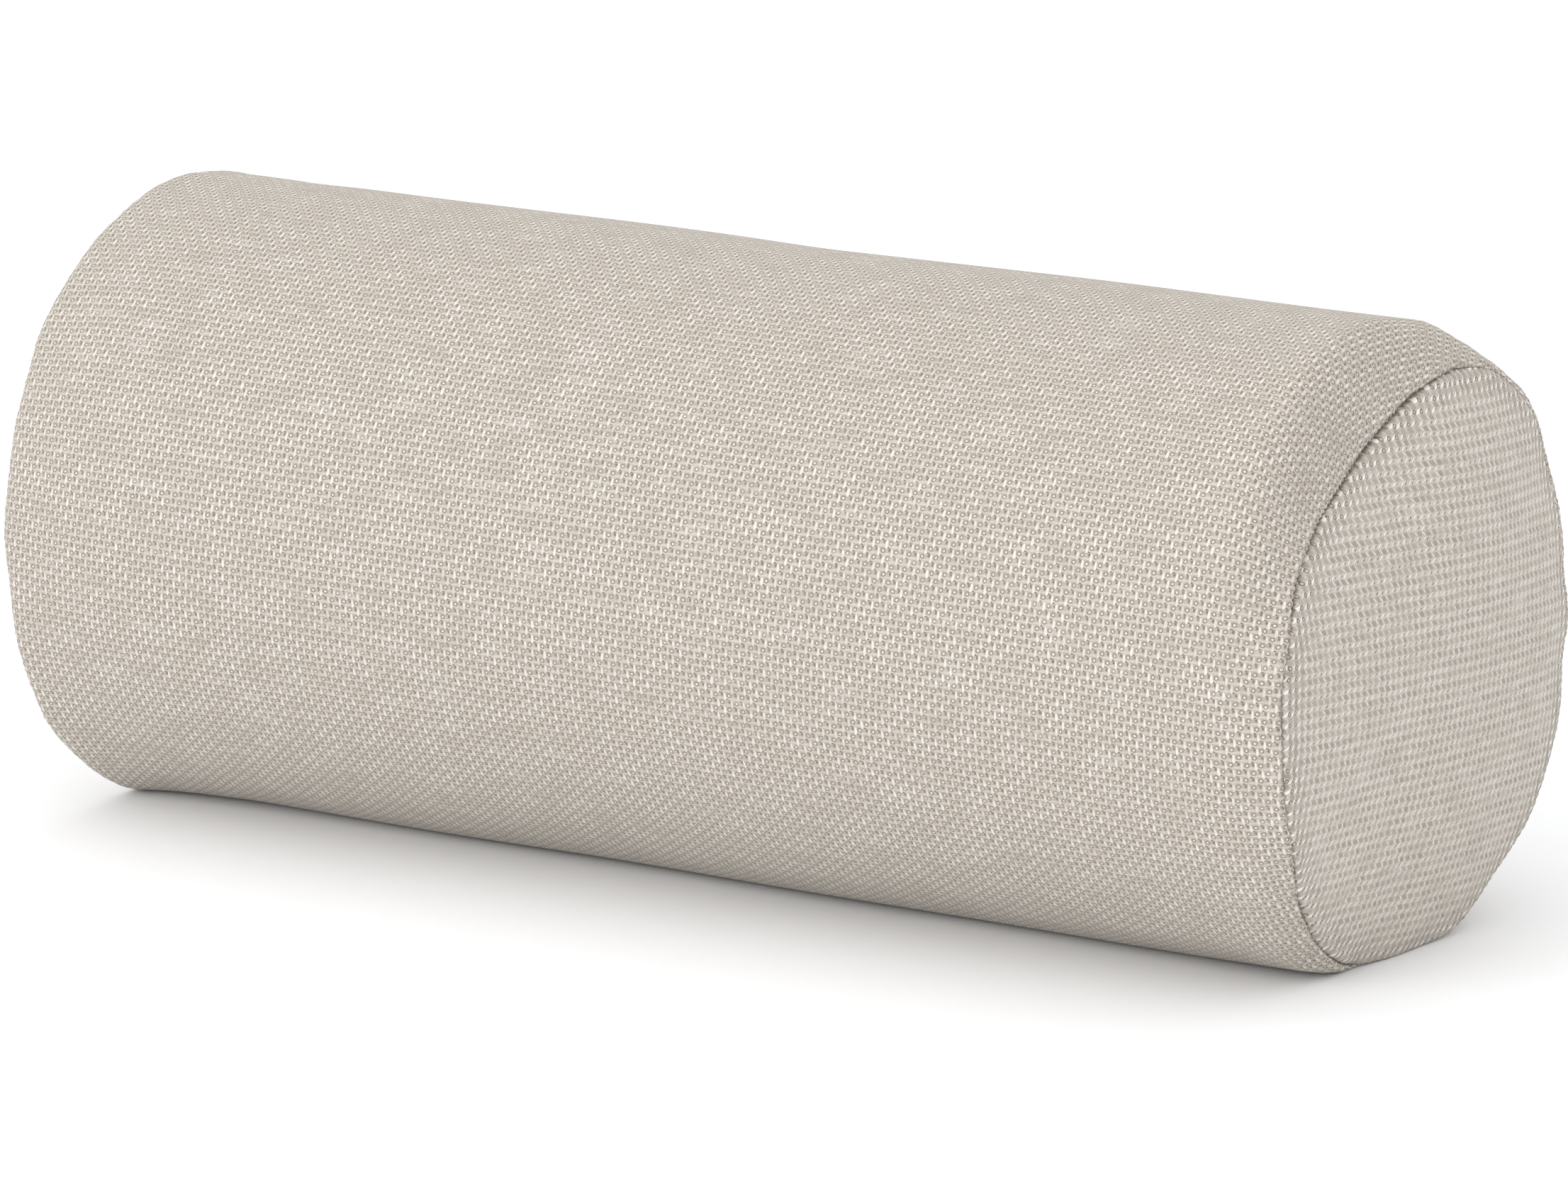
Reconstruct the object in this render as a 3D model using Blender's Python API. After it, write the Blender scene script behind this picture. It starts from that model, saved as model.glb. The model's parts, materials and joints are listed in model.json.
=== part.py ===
"""A bolster pillow: a foam roll with a fibre wrap in a sewn liner, in a woven cover that closes with a zip.

Metres, +Z up. X runs along the roll, and the zip is high on the back, at +Y. The pillow lies on z = 0, with
the origin under its middle. Round pieces are outlines of (x, radius) points swept about the roll's axis. The
zip is laid out in a frame of its own: x along it, y across it (down the pillow's back) and z out from the axis.
"""

from math import cos, pi, radians, sin, sqrt

import bmesh
import bpy
from mathutils import Vector

# The whole pillow
RADIUS = 0.090
HALF_LENGTH = 0.215
STEPS = 48  # round the roll
PATCH_STEPS = 3  # round a piece that covers a small part of it
FLAT_ANGLE = radians(15)  # half the arc that is pressed flat
AXIS_HEIGHT = RADIUS * cos(FLAT_ANGLE)
GAP = 0.0003  # between pieces that touch

# The cover: a tube of fabric, with a domed round panel at each end
FABRIC = 0.0012
SEAM_X, SEAM_RADIUS = 0.204, 0.084
SHOULDER_LENGTH = 0.034
SHOULDER_TURN = radians(70)
ALLOWANCE = 0.007  # the turned-in edge past the seam
DOME_POWER = 3
EDGE_GAP = 0.0012  # between the edges of a sheet that are sewn to each other

# The cushion in the cover: its corners are quarter ellipses, and its ends low crowns
LINER = 0.0005
LINER_RADIUS = 0.0876
CORNER_X, CORNER_LENGTH, CORNER_HEIGHT = 0.172, 0.0375, 0.040
CROWN_HEIGHT = 0.003
CORNER_STEP = radians(15)  # so that every layer bends at the same places
LINER_SEAM_TURN = 3 * CORNER_STEP
LINER_EDGE_ANGLE = radians(-60)  # round from +Y
FOAM_RADIUS = 0.072
WRAP_END_TURN = 2 * CORNER_STEP
GAP_TURN = radians(0.6)  # a turn of the corner that makes the gap between two pieces

# The zip. Its heights are distances out from the roll's axis
ZIP_ANGLE = radians(30)  # above the horizontal
WINDOW_HALF_LENGTH, WINDOW_HALF_WIDTH = 0.160, 0.0055
TAPE_IN, TAPE_OUT = 0.0879, 0.0885
TAPE_EDGE, TAPE_FAR_EDGE = 0.0019, 0.0150
TAPE_HALF_LENGTH = 0.169
COIL_IN, COIL_OUT = 0.0888, 0.0910
COIL_EDGE, COIL_FAR_EDGE, COIL_ROUNDING = 0.0002, 0.0031, 0.0006
STOP_LENGTH, STOP_FAR_EDGE, STOP_WEB = 0.0035, 0.0036, 0.0016
STOP_IN, STOP_OUT, STOP_PLATE = 0.0868, 0.0896, 0.0008
BOTTOM_STOP_X = 0.1555

# The slider and its pull tab
SLIDER_X, SLIDER_LENGTH = -0.1483, 0.0135
SLIDER_IN, SLIDER_OUT = 0.0862, 0.0924
SLIDER_PLATE = 0.0012
FRONT_HALF_WIDTH, BACK_HALF_WIDTH = 0.0047, 0.0042
CHANNEL_HALF_WIDTH = 0.0035
TAPE_SLOT_OUT = 0.0889
DIAMOND_LENGTH, DIAMOND_HALF_WIDTH, DIAMOND_INSET = 0.0050, 0.0014, 0.0004
BAIL_HALF_WIDTH, BAIL_HALF_LENGTH, BAIL_HEIGHT = 0.0008, 0.0030, 0.0038
BAIL_HOLE_HALF_LENGTH, BAIL_HOLE_HEIGHT = 0.0016, 0.0026
TAB_HALF_THICKNESS, TAB_HALF_WIDTH, TAB_LENGTH = 0.0007, 0.0028, 0.0235
EYE_HALF_WIDTH, EYE_END = 0.0013, 0.0045
OVERLAP = 0.0002  # by which shapes that make one casting run into each other

# Threads and the label
THREAD_RADIUS = 0.00035
STITCH_ROW = 0.0080  # from the zip's middle
LABEL_IN, LABEL_OUT = 0.0880, 0.0884
LABEL_X = (0.050, 0.085)
LABEL_ANGLES = (ZIP_ANGLE + radians(11.5), ZIP_ANGLE + radians(30))

DOWN = Vector((0, 0, -1))
ZIP_OUT = Vector((0, cos(ZIP_ANGLE), sin(ZIP_ANGLE)))
PRESSED_COVER = (DOWN,)
PRESSED_CUSHION = (DOWN, ZIP_OUT)

# Colour, roughness and metallic value
MATERIALS = {
    "cover_fabric": ((0.60, 0.55, 0.49), 0.85, 0),
    "cover_thread": ((0.42, 0.37, 0.31), 0.75, 0),
    "zip_tape": ((0.50, 0.45, 0.38), 0.80, 0),
    "zip_coil": ((0.55, 0.50, 0.43), 0.45, 0),
    "zip_metal": ((0.62, 0.60, 0.57), 0.35, 1),
    "liner_fabric": ((0.86, 0.86, 0.84), 0.80, 0),
    "liner_thread": ((0.90, 0.90, 0.88), 0.70, 0),
    "wadding": ((0.93, 0.93, 0.91), 0.95, 0),
    "foam": ((0.90, 0.84, 0.62), 0.90, 0),
    "label_ribbon": ((0.92, 0.92, 0.90), 0.60, 0),
}


def material(name):
    """The material of this name, made when it is first asked for."""
    if name in bpy.data.materials:
        return bpy.data.materials[name]
    colour, roughness, metallic = MATERIALS[name]
    made = bpy.data.materials.new(name)
    made.use_nodes = True
    shader = made.node_tree.nodes["Principled BSDF"]
    shader.inputs["Base Color"].default_value = (*colour, 1)
    shader.inputs["Roughness"].default_value = roughness
    shader.inputs["Metallic"].default_value = metallic
    made.diffuse_color = (*colour, 1)
    return made


def add(name, data, parent=None):
    """An object with this name and data, in the scene."""
    piece = bpy.data.objects.new(name, data)
    bpy.context.scene.collection.objects.link(piece)
    piece.parent = parent
    return piece


def axis_marker(name, place, parent=None):
    """An empty that carries pieces, on the axis that they turn or slide on."""
    marker = add(name, None, parent)
    marker.location = place
    marker.empty_display_size = RADIUS / 10
    return marker


def solid(name, bm, finish, parent=None):
    """An object made of bm's faces, turned to point out."""
    bmesh.ops.remove_doubles(bm, verts=bm.verts, dist=1e-7)
    bmesh.ops.recalc_face_normals(bm, faces=bm.faces)
    mesh = bpy.data.meshes.new(name)
    bm.to_mesh(mesh)
    bm.free()
    mesh.shade_smooth()
    mesh.set_sharp_from_angle(angle=radians(40))
    mesh.materials.append(material(finish))
    return add(name, mesh, parent)


# Outlines


def rectangle(low_u, high_u, low_v, high_v):
    return [(low_u, low_v), (high_u, low_v), (high_u, high_v), (low_u, high_v)]


def inset(line, depth):
    """The line moved this far to the right of the way it runs, and kept from crossing the roll's axis."""
    points = [Vector(p) for p in line]
    runs = [(b - a).normalized() for a, b in zip(points, points[1:])]
    moved = []
    for point, before, after in zip(points, runs[:1] + runs, runs + runs[-1:]):
        way = (before + after).normalized()
        place = point + Vector((way.y, -way.x)) * depth / way.dot(after)
        moved.append((place.x, max(0, place.y)))
    return moved


def sheet(line, thickness):
    """The closed outline of a sheet whose outer face is this line, with the inside on its right."""
    return [*line, *reversed(inset(line, thickness))]


def mirrored(line):
    return [(-x, radius) for x, radius in line]


def both_ends(line):
    """A line at the +X end, and the same at the other end before it."""
    return mirrored(line)[::-1] + line


# Round pieces


def round_place(x, radius, angle, pressed):
    """The point this far out from the axis and this angle round from +Y, brought in to each pressed flat."""
    out = Vector((0, cos(angle), sin(angle))) * radius
    for direction in pressed:
        out -= direction * max(0, out.dot(direction) - radius * cos(FLAT_ANGLE))
    return Vector((x, out.y, out.z + AXIS_HEIGHT))


def swept(name, outline, finish, pressed=(), angles=None):
    """A closed outline swept right round the axis, or from one angle to another."""
    start, end = angles or (0, 2 * pi)
    steps = PATCH_STEPS if angles else STEPS
    stations = steps + 1 if angles else steps
    bm = bmesh.new()
    rings = []
    for i in range(stations):
        angle = start + (end - start) * i / steps
        rings.append([bm.verts.new(round_place(x, r, angle, pressed)) for x, r in outline])
    for i in range(steps):
        near, far = rings[i], rings[(i + 1) % stations]
        for j in range(len(outline)):
            if max(outline[j - 1][1], outline[j][1]) > 0:
                bm.faces.new((near[j - 1], near[j], far[j], far[j - 1]))
    if angles:
        bm.faces.new(rings[0])
        bm.faces.new(rings[-1])
    return solid(name, bm, finish)


# Pieces of the zip


def extruded(name, outline, along, low, high, finish, parent):
    """A closed outline drawn out along x, y or z. Its two coordinates are the other two, in order."""
    place = {
        "x": lambda u, v, w: (w, u, v),
        "y": lambda u, v, w: (u, w, v),
        "z": lambda u, v, w: (u, v, w),
    }[along]
    bm = bmesh.new()
    base, top = ([bm.verts.new(place(u, v, w)) for u, v in outline] for w in (low, high))
    for i in range(len(outline)):
        bm.faces.new((base[i - 1], base[i], top[i], top[i - 1]))
    bm.faces.new(base)
    bm.faces.new(top)
    return solid(name, bm, finish, parent)


def combine(piece, operation, tool):
    """Cuts a helper out of a piece, or joins the helper to it."""
    tool.hide_render = True
    tool.display_type = "WIRE"
    boolean = piece.modifiers.new(tool.name, "BOOLEAN")
    boolean.operation = operation
    boolean.solver = "EXACT"
    boolean.object = tool


def thread(name, places, finish, closed=False):
    """A thread through these points, and back to the first if it is closed."""
    curve = bpy.data.curves.new(name, "CURVE")
    curve.dimensions = "3D"
    curve.bevel_depth = THREAD_RADIUS
    curve.bevel_resolution = 0
    curve.use_fill_caps = True
    spline = curve.splines.new("POLY")
    spline.points.add(len(places) - 1)
    for point, place in zip(spline.points, places):
        point.co = (*place, 1)
    spline.use_cyclic_u = closed
    curve.materials.append(material(finish))
    return add(name, curve)


def ring_thread(name, x, radius, pressed, finish):
    """A thread round the roll."""
    turns = [2 * pi * i / STEPS for i in range(STEPS)]
    thread(name, [round_place(x, radius, turn, pressed) for turn in turns], finish, closed=True)


def lengthways_thread(name, line, angle, finish):
    """A thread along a line of (x, radius) points, this angle round from +Y."""
    thread(name, [round_place(x, radius, angle, ()) for x, radius in line], finish)


# The cover


def shoulder():
    """The tube's outline, from its straight part out to the seam at +X."""
    length = SHOULDER_LENGTH / sin(SHOULDER_TURN)
    drop = (RADIUS - SEAM_RADIUS) / (1 - cos(SHOULDER_TURN))
    turns = [SHOULDER_TURN * i / 4 for i in range(5)]
    return [(SEAM_X - SHOULDER_LENGTH + length * sin(t), RADIUS - drop * (1 - cos(t))) for t in turns]


def allowance_edge(seam):
    """The free edge of the fabric that turns in at a seam, half way between the tube and the end."""
    run = ALLOWANCE / sqrt(2)
    return (seam[0] - run, seam[1] - run)


def cover_body_panel(zip_frame):
    """The tube. Its lengthways edges are sewn together at both ends of the zip's window."""
    line = shoulder()
    line.append(allowance_edge(line[-1]))
    panel = swept("cover_body_panel", sheet(both_ends(line), FABRIC), "cover_fabric", PRESSED_COVER)
    for name, half_length, half_width in (
        ("edge_gap_cutter", HALF_LENGTH, EDGE_GAP / 2),
        ("zip_window_cutter", WINDOW_HALF_LENGTH, WINDOW_HALF_WIDTH),
    ):
        opening = rectangle(-half_length, half_length, -half_width, half_width)
        cutter = extruded(name, opening, "z", FOAM_RADIUS, RADIUS + FABRIC, "cover_fabric", zip_frame)
        combine(panel, "DIFFERENCE", cutter)


def cover_end_panels():
    """The domed ends, with their edges turned in beside the tube's."""
    seam = (SEAM_X + GAP / sqrt(2), SEAM_RADIUS - GAP / sqrt(2))
    rise = HALF_LENGTH - seam[0]
    shares = [i / 5 for i in range(5, -1, -1)]
    dome = [(seam[0] + rise * (1 - share**DOME_POWER), seam[1] * share) for share in shares]
    outline = sheet([allowance_edge(seam), *dome], FABRIC)
    swept("cover_end_panel_right", outline, "cover_fabric", PRESSED_COVER)
    swept("cover_end_panel_left", mirrored(outline), "cover_fabric", PRESSED_COVER)


def cover_threads():
    """The thread in the groove of each end seam, and in each short seam beyond the zip."""
    clear = (THREAD_RADIUS + GAP) / sqrt(2)
    edges = inset([(WINDOW_HALF_LENGTH + THREAD_RADIUS + GAP, RADIUS), *shoulder()[:-1]], FABRIC / 2)
    for side, name in ((1, "right"), (-1, "left")):
        x, radius = SEAM_X + clear, SEAM_RADIUS + clear
        ring_thread("end_seam_thread_" + name, side * x, radius, PRESSED_COVER, "cover_thread")
        line = edges if side > 0 else mirrored(edges)
        lengthways_thread("closing_seam_thread_" + name, line, ZIP_ANGLE, "cover_thread")


# The cushion


def corner(start, end):
    """The cushion's corner at +X, from one turn to another. No turn is level, and a quarter turn faces +X."""
    steps = [i * CORNER_STEP for i in range(7)]
    turns = [start, *(step for step in steps if start + GAP_TURN < step < end - GAP_TURN), end]
    return [(CORNER_X + CORNER_LENGTH * sin(t), LINER_RADIUS - CORNER_HEIGHT * (1 - cos(t))) for t in turns]


def cushion_end(start):
    """The cushion's outline from this turn of its corner to the middle of its end."""
    rim = LINER_RADIUS - CORNER_HEIGHT
    crown = [(CORNER_X + CORNER_LENGTH + CROWN_HEIGHT * (1 - s**2), rim * s) for s in (2 / 3, 1 / 3, 0)]
    return corner(start, pi / 2) + crown


def liner():
    """A thin tube whose lengthways edges are sewn together, and two round ends."""
    body = swept(
        "liner_body",
        sheet(both_ends(corner(0, LINER_SEAM_TURN)), LINER),
        "liner_fabric",
        PRESSED_CUSHION,
    )
    frame = axis_marker("liner_edge", (0, 0, AXIS_HEIGHT))
    frame.rotation_euler.x = LINER_EDGE_ANGLE - pi / 2
    opening = rectangle(-HALF_LENGTH, HALF_LENGTH, -EDGE_GAP / 2, EDGE_GAP / 2)
    cutter = extruded("liner_gap_cutter", opening, "z", FOAM_RADIUS / 2, RADIUS, "liner_fabric", frame)
    combine(body, "DIFFERENCE", cutter)

    outline = sheet(cushion_end(LINER_SEAM_TURN + GAP_TURN), LINER)
    swept("liner_end_right", outline, "liner_fabric", PRESSED_CUSHION)
    swept("liner_end_left", mirrored(outline), "liner_fabric", PRESSED_CUSHION)

    x, radius = inset(corner(0, LINER_SEAM_TURN), -THREAD_RADIUS - GAP)[-1]
    ring_thread("liner_seam_thread_right", x, radius, PRESSED_CUSHION, "liner_thread")
    ring_thread("liner_seam_thread_left", -x, radius, PRESSED_CUSHION, "liner_thread")
    edges = inset(corner(0, LINER_SEAM_TURN - 2 * GAP_TURN), LINER / 2)
    lengthways_thread("liner_closing_seam_thread", both_ends(edges), LINER_EDGE_ANGLE, "liner_thread")


def filling():
    """The foam, the fibre wrapped round it and the fibre disc that crowns each end."""
    wrap = both_ends(inset(corner(0, WRAP_END_TURN), LINER + GAP))
    foam_end = wrap[-1][0]
    inside = FOAM_RADIUS + GAP
    swept("wadding_wrap", [*wrap, (foam_end, inside), (-foam_end, inside)], "wadding", PRESSED_CUSHION)
    disc = inset(cushion_end(WRAP_END_TURN + GAP_TURN), LINER + GAP)
    disc.append((disc[0][0], 0))
    swept("wadding_disc_right", disc, "wadding", PRESSED_CUSHION)
    swept("wadding_disc_left", mirrored(disc), "wadding", PRESSED_CUSHION)
    foam = both_ends([(foam_end, FOAM_RADIUS), (foam_end, 0)])
    swept("foam_core", foam, "foam", PRESSED_CUSHION)


# The zip


def to_side(outline, side):
    """An outline of (y, z) points, on the lower or the upper side of the zip."""
    return [(side * y, z) for y, z in outline]


def zip_tapes():
    for side, name in ((1, "upper"), (-1, "lower")):
        near, far = (ZIP_ANGLE + side * edge / TAPE_OUT for edge in (TAPE_EDGE, TAPE_FAR_EDGE))
        outline = rectangle(-TAPE_HALF_LENGTH, TAPE_HALF_LENGTH, TAPE_IN, TAPE_OUT)
        swept("zip_tape_" + name, outline, "zip_tape", angles=(near, far))
        row = ZIP_ANGLE + side * STITCH_ROW / RADIUS
        height = RADIUS + THREAD_RADIUS + GAP
        end = WINDOW_HALF_LENGTH - GAP
        lengthways_thread("zip_stitch_" + name, [(-end, height), (end, height)], row, "cover_thread")


def zip_coils(frame):
    """Each coil is a bar of its outer shape, from the slider's diamond to the bottom stop."""
    start = SLIDER_X - SLIDER_LENGTH / 2 + DIAMOND_INSET + DIAMOND_LENGTH + GAP
    end = BOTTOM_STOP_X - GAP
    round_off = COIL_ROUNDING
    outline = [
        (COIL_EDGE, COIL_IN + round_off),
        (COIL_EDGE + round_off, COIL_IN),
        (COIL_FAR_EDGE - round_off, COIL_IN),
        (COIL_FAR_EDGE, COIL_IN + round_off),
        (COIL_FAR_EDGE, COIL_OUT - round_off),
        (COIL_FAR_EDGE - round_off, COIL_OUT),
        (COIL_EDGE + round_off, COIL_OUT),
        (COIL_EDGE, COIL_OUT - round_off),
    ]
    extruded("zip_coil_lower", to_side(outline, 1), "x", start, end, "zip_coil", frame)
    extruded("zip_coil_upper", to_side(outline, -1), "x", start, end, "zip_coil", frame)


def zip_stops(frame):
    """A clip on each tape at the closed end, and one clip on both tapes at the other."""
    slot_in, slot_out = STOP_IN + STOP_PLATE, STOP_OUT - STOP_PLATE
    clip = [
        (STOP_FAR_EDGE, STOP_IN),
        (STOP_FAR_EDGE, slot_in),
        (STOP_WEB, slot_in),
        (STOP_WEB, slot_out),
        (STOP_FAR_EDGE, slot_out),
        (STOP_FAR_EDGE, STOP_OUT),
    ]
    single = [*clip, (STOP_WEB / 3, STOP_OUT), (STOP_WEB / 3, STOP_IN)]
    end = SLIDER_X - SLIDER_LENGTH / 2 - GAP
    start = end - STOP_LENGTH
    extruded("zip_top_stop_lower", to_side(single, 1), "x", start, end, "zip_metal", frame)
    extruded("zip_top_stop_upper", to_side(single, -1), "x", start, end, "zip_metal", frame)
    double = clip + to_side(clip, -1)[::-1]
    start, end = BOTTOM_STOP_X, BOTTOM_STOP_X + STOP_LENGTH
    extruded("zip_bottom_stop", double, "x", start, end, "zip_metal", frame)


def zip_slider(frame):
    """One casting: two plates joined by the diamond that parts the coils, with rims and a bail for the tab."""
    rail = axis_marker("zip_slide_axis", (SLIDER_X, 0, 0), frame)
    half = SLIDER_LENGTH / 2
    plan = [
        (-half + 0.001, -FRONT_HALF_WIDTH + 0.001),
        (-half + 0.002, -FRONT_HALF_WIDTH),
        (0, -FRONT_HALF_WIDTH),
        (half / 2, -BACK_HALF_WIDTH),
        (half, -BACK_HALF_WIDTH),
        (half, BACK_HALF_WIDTH),
        (half / 2, BACK_HALF_WIDTH),
        (0, FRONT_HALF_WIDTH),
        (-half + 0.002, FRONT_HALF_WIDTH),
        (-half + 0.001, FRONT_HALF_WIDTH - 0.001),
        (-half, FRONT_HALF_WIDTH / 2),
        (-half, -FRONT_HALF_WIDTH / 2),
    ]
    slider = extruded("zip_slider", plan, "z", SLIDER_IN, SLIDER_OUT, "zip_metal", rail)

    floor, ceiling = SLIDER_IN + SLIDER_PLATE, SLIDER_OUT - SLIDER_PLATE
    wide, narrow = 2 * FRONT_HALF_WIDTH, CHANNEL_HALF_WIDTH
    channel = [
        (-wide, floor),
        (wide, floor),
        (wide, TAPE_SLOT_OUT),
        (narrow, TAPE_SLOT_OUT),
        (narrow, ceiling),
        (-narrow, ceiling),
        (-narrow, TAPE_SLOT_OUT),
        (-wide, TAPE_SLOT_OUT),
    ]
    cutter = extruded("slider_channel_cutter", channel, "x", -SLIDER_LENGTH, SLIDER_LENGTH, "zip_metal", rail)
    combine(slider, "DIFFERENCE", cutter)

    front = -half + DIAMOND_INSET
    back = front + DIAMOND_LENGTH
    wedge = [
        (front, -DIAMOND_HALF_WIDTH / 2),
        ((front + back) / 2, -DIAMOND_HALF_WIDTH),
        (back, 0),
        ((front + back) / 2, DIAMOND_HALF_WIDTH),
        (front, DIAMOND_HALF_WIDTH / 2),
    ]
    low, high = floor - OVERLAP, ceiling + OVERLAP
    combine(slider, "UNION", extruded("slider_diamond", wedge, "z", low, high, "zip_metal", rail))

    foot, top = SLIDER_OUT - OVERLAP, SLIDER_OUT + BAIL_HEIGHT
    hole_top = SLIDER_OUT + BAIL_HOLE_HEIGHT
    arch = [
        (-BAIL_HALF_LENGTH, foot),
        (-BAIL_HOLE_HALF_LENGTH, foot),
        (-BAIL_HOLE_HALF_LENGTH, hole_top),
        (BAIL_HOLE_HALF_LENGTH, hole_top),
        (BAIL_HOLE_HALF_LENGTH, foot),
        (BAIL_HALF_LENGTH, foot),
        (BAIL_HALF_LENGTH, hole_top),
        (BAIL_HOLE_HALF_LENGTH, top),
        (-BAIL_HOLE_HALF_LENGTH, top),
        (-BAIL_HALF_LENGTH, hole_top),
    ]
    bail = extruded("slider_bail", arch, "y", -BAIL_HALF_WIDTH, BAIL_HALF_WIDTH, "zip_metal", rail)
    combine(slider, "UNION", bail)
    return rail


def zip_pull_tab(rail):
    """A flat tab with rounded ends, which turns on the bar beyond its eye, inside the bail."""
    pivot = axis_marker("zip_pull_axis", (0, 0, SLIDER_OUT + BAIL_HOLE_HEIGHT / 2), rail)
    bar = TAB_HALF_THICKNESS
    round_off = TAB_HALF_WIDTH / 2
    plan = [
        (-bar, -TAB_HALF_WIDTH),
        (TAB_LENGTH - round_off, -TAB_HALF_WIDTH),
        (TAB_LENGTH, -TAB_HALF_WIDTH + round_off),
        (TAB_LENGTH, TAB_HALF_WIDTH - round_off),
        (TAB_LENGTH - round_off, TAB_HALF_WIDTH),
        (-bar, TAB_HALF_WIDTH),
    ]
    tab = extruded("zip_pull_tab", plan, "z", -bar, bar, "zip_metal", pivot)
    eye = rectangle(bar, EYE_END, -EYE_HALF_WIDTH, EYE_HALF_WIDTH)
    cutter = extruded("tab_eye_cutter", eye, "z", -2 * bar, 2 * bar, "zip_metal", pivot)
    combine(tab, "DIFFERENCE", cutter)


def care_label():
    """A blank ribbon, held by the seam at the zip's upper tape, flat between the cover and the liner."""
    swept("care_label", rectangle(*LABEL_X, LABEL_IN, LABEL_OUT), "label_ribbon", angles=LABEL_ANGLES)


def main():
    for startup_object in list(bpy.data.objects):
        bpy.data.objects.remove(startup_object)
    zip_frame = axis_marker("zip_frame", (0, 0, AXIS_HEIGHT))
    zip_frame.rotation_euler.x = ZIP_ANGLE - pi / 2

    cover_body_panel(zip_frame)
    cover_end_panels()
    cover_threads()
    liner()
    filling()
    zip_tapes()
    zip_coils(zip_frame)
    zip_stops(zip_frame)
    zip_pull_tab(zip_slider(zip_frame))
    care_label()


main()
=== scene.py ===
"""The looks of the bolster pillow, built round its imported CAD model. Metres, +Z up.

X runs along the roll. A turn is an angle round the roll's axis from +Y, so that a quarter turn is the top and
a half turn is the front. Grids of points are numpy arrays, with a row for each place along a piece and a
column for each place across it.
"""

import json
import math

import bmesh
import bpy
import numpy as np
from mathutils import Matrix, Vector


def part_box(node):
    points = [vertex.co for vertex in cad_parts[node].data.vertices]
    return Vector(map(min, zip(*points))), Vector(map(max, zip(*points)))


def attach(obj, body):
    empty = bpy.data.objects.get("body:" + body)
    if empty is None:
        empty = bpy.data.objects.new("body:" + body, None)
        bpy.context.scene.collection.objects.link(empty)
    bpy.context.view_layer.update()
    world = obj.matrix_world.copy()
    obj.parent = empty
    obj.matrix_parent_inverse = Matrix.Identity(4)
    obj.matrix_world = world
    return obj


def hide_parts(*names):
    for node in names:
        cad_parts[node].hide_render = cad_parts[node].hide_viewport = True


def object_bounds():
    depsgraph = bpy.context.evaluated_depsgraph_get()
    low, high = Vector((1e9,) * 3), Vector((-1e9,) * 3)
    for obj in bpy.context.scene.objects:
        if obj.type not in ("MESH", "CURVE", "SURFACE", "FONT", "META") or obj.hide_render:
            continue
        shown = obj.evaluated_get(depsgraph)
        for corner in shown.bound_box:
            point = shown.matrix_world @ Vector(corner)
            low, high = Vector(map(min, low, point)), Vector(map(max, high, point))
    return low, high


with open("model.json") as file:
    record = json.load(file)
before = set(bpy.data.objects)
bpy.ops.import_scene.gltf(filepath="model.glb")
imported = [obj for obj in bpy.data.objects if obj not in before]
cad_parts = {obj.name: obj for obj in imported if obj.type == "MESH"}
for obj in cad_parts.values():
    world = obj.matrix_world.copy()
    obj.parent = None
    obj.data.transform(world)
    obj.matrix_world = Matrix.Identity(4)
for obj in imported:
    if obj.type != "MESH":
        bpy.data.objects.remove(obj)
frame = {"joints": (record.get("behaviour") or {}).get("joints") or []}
CAD_LOW, CAD_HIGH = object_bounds()
MM = 0.001
TAU = 2 * math.pi

# The roll, from the frame
cover_low, cover_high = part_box("cover_body_panel")
RADIUS = (cover_high.y - cover_low.y) / 2
AXIS_Z = cover_high.z - RADIUS
SEAM_X = cover_high.x
PIVOT = Vector(next(j["pos_m"] for j in frame["joints"] if j["name"] == "pull_swing"))
ZIP_TURN = math.atan2(PIVOT.z - AXIS_Z, PIVOT.y)

# The cover's skin
SEAM_RADIUS = 84 * MM  # about what the ends' seams have
# Each end seam's (x, radius) in mm, less SEAM_X and SEAM_RADIUS, at every eighth of a turn from +Y
SEAM_LINES = {
    1: ((1, -6), (-2.5, 0), (-4, -13), (-3, -16), (6, 0.5), (-2.5, -1), (-12, 6), (-1.5, 3)),
    -1: ((9.5, 3), (9, 4), (5, 5), (8, 0), (7, 0), (4.5, 8), (0, 9), (1, 7)),
}
SHOULDER_X = {1: 185 * MM, -1: 161 * MM}  # where the tube starts to curve in
SHOULDER_TURN = math.radians(62)
ROLL = {1: 0.8 * MM, -1: 4.5 * MM}  # how far the tube's cloth rolls in round the edge, just before the seam
CROWN = {1: 9 * MM, -1: 13 * MM}  # the rise of an end's middle over SEAM_X
WINDOW_HALF_LENGTH = 160 * MM
WINDOW_EDGE, CLOSED_EDGE = 5.5 * MM, 0.05 * MM  # half the gap between the lengthways edges
FOLD = 0.6 * MM  # the radius of a folded edge
SEAM_DEPTH = 2.5 * MM  # how far the cloth goes on into a seam's groove
STITCH_ROW = 8 * MM  # from the zip's middle to the stitching beside it
STITCHES = 228  # dips round an end seam's groove, two to each thread stitch
STITCH_SHARE = 0.82  # a stitch's share of its pitch
COLUMNS = 4 * STITCHES  # of points round the cover
TUBE_SIDES = 6  # round a thread or a coil's wire
PRESS_SOFTNESS = 1.2 * MM
SIDES = ((1, "right"), (-1, "left"))

# The coarse grid that the cloth settles on
TUBE_ROWS, END_ROWS, AROUND = 65, 13, 96
END_HOLE = 0.08  # an end's share that is left open in its middle
START_SMALLER, MOST_MOVE = 1.3 * MM, 3 * MM
SETTLING_FRAMES = 20
SMOOTHINGS = 6  # along the roll, since the cloth is taut

# The zip and the label
COIL_PITCH = 1.25 * MM
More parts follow.
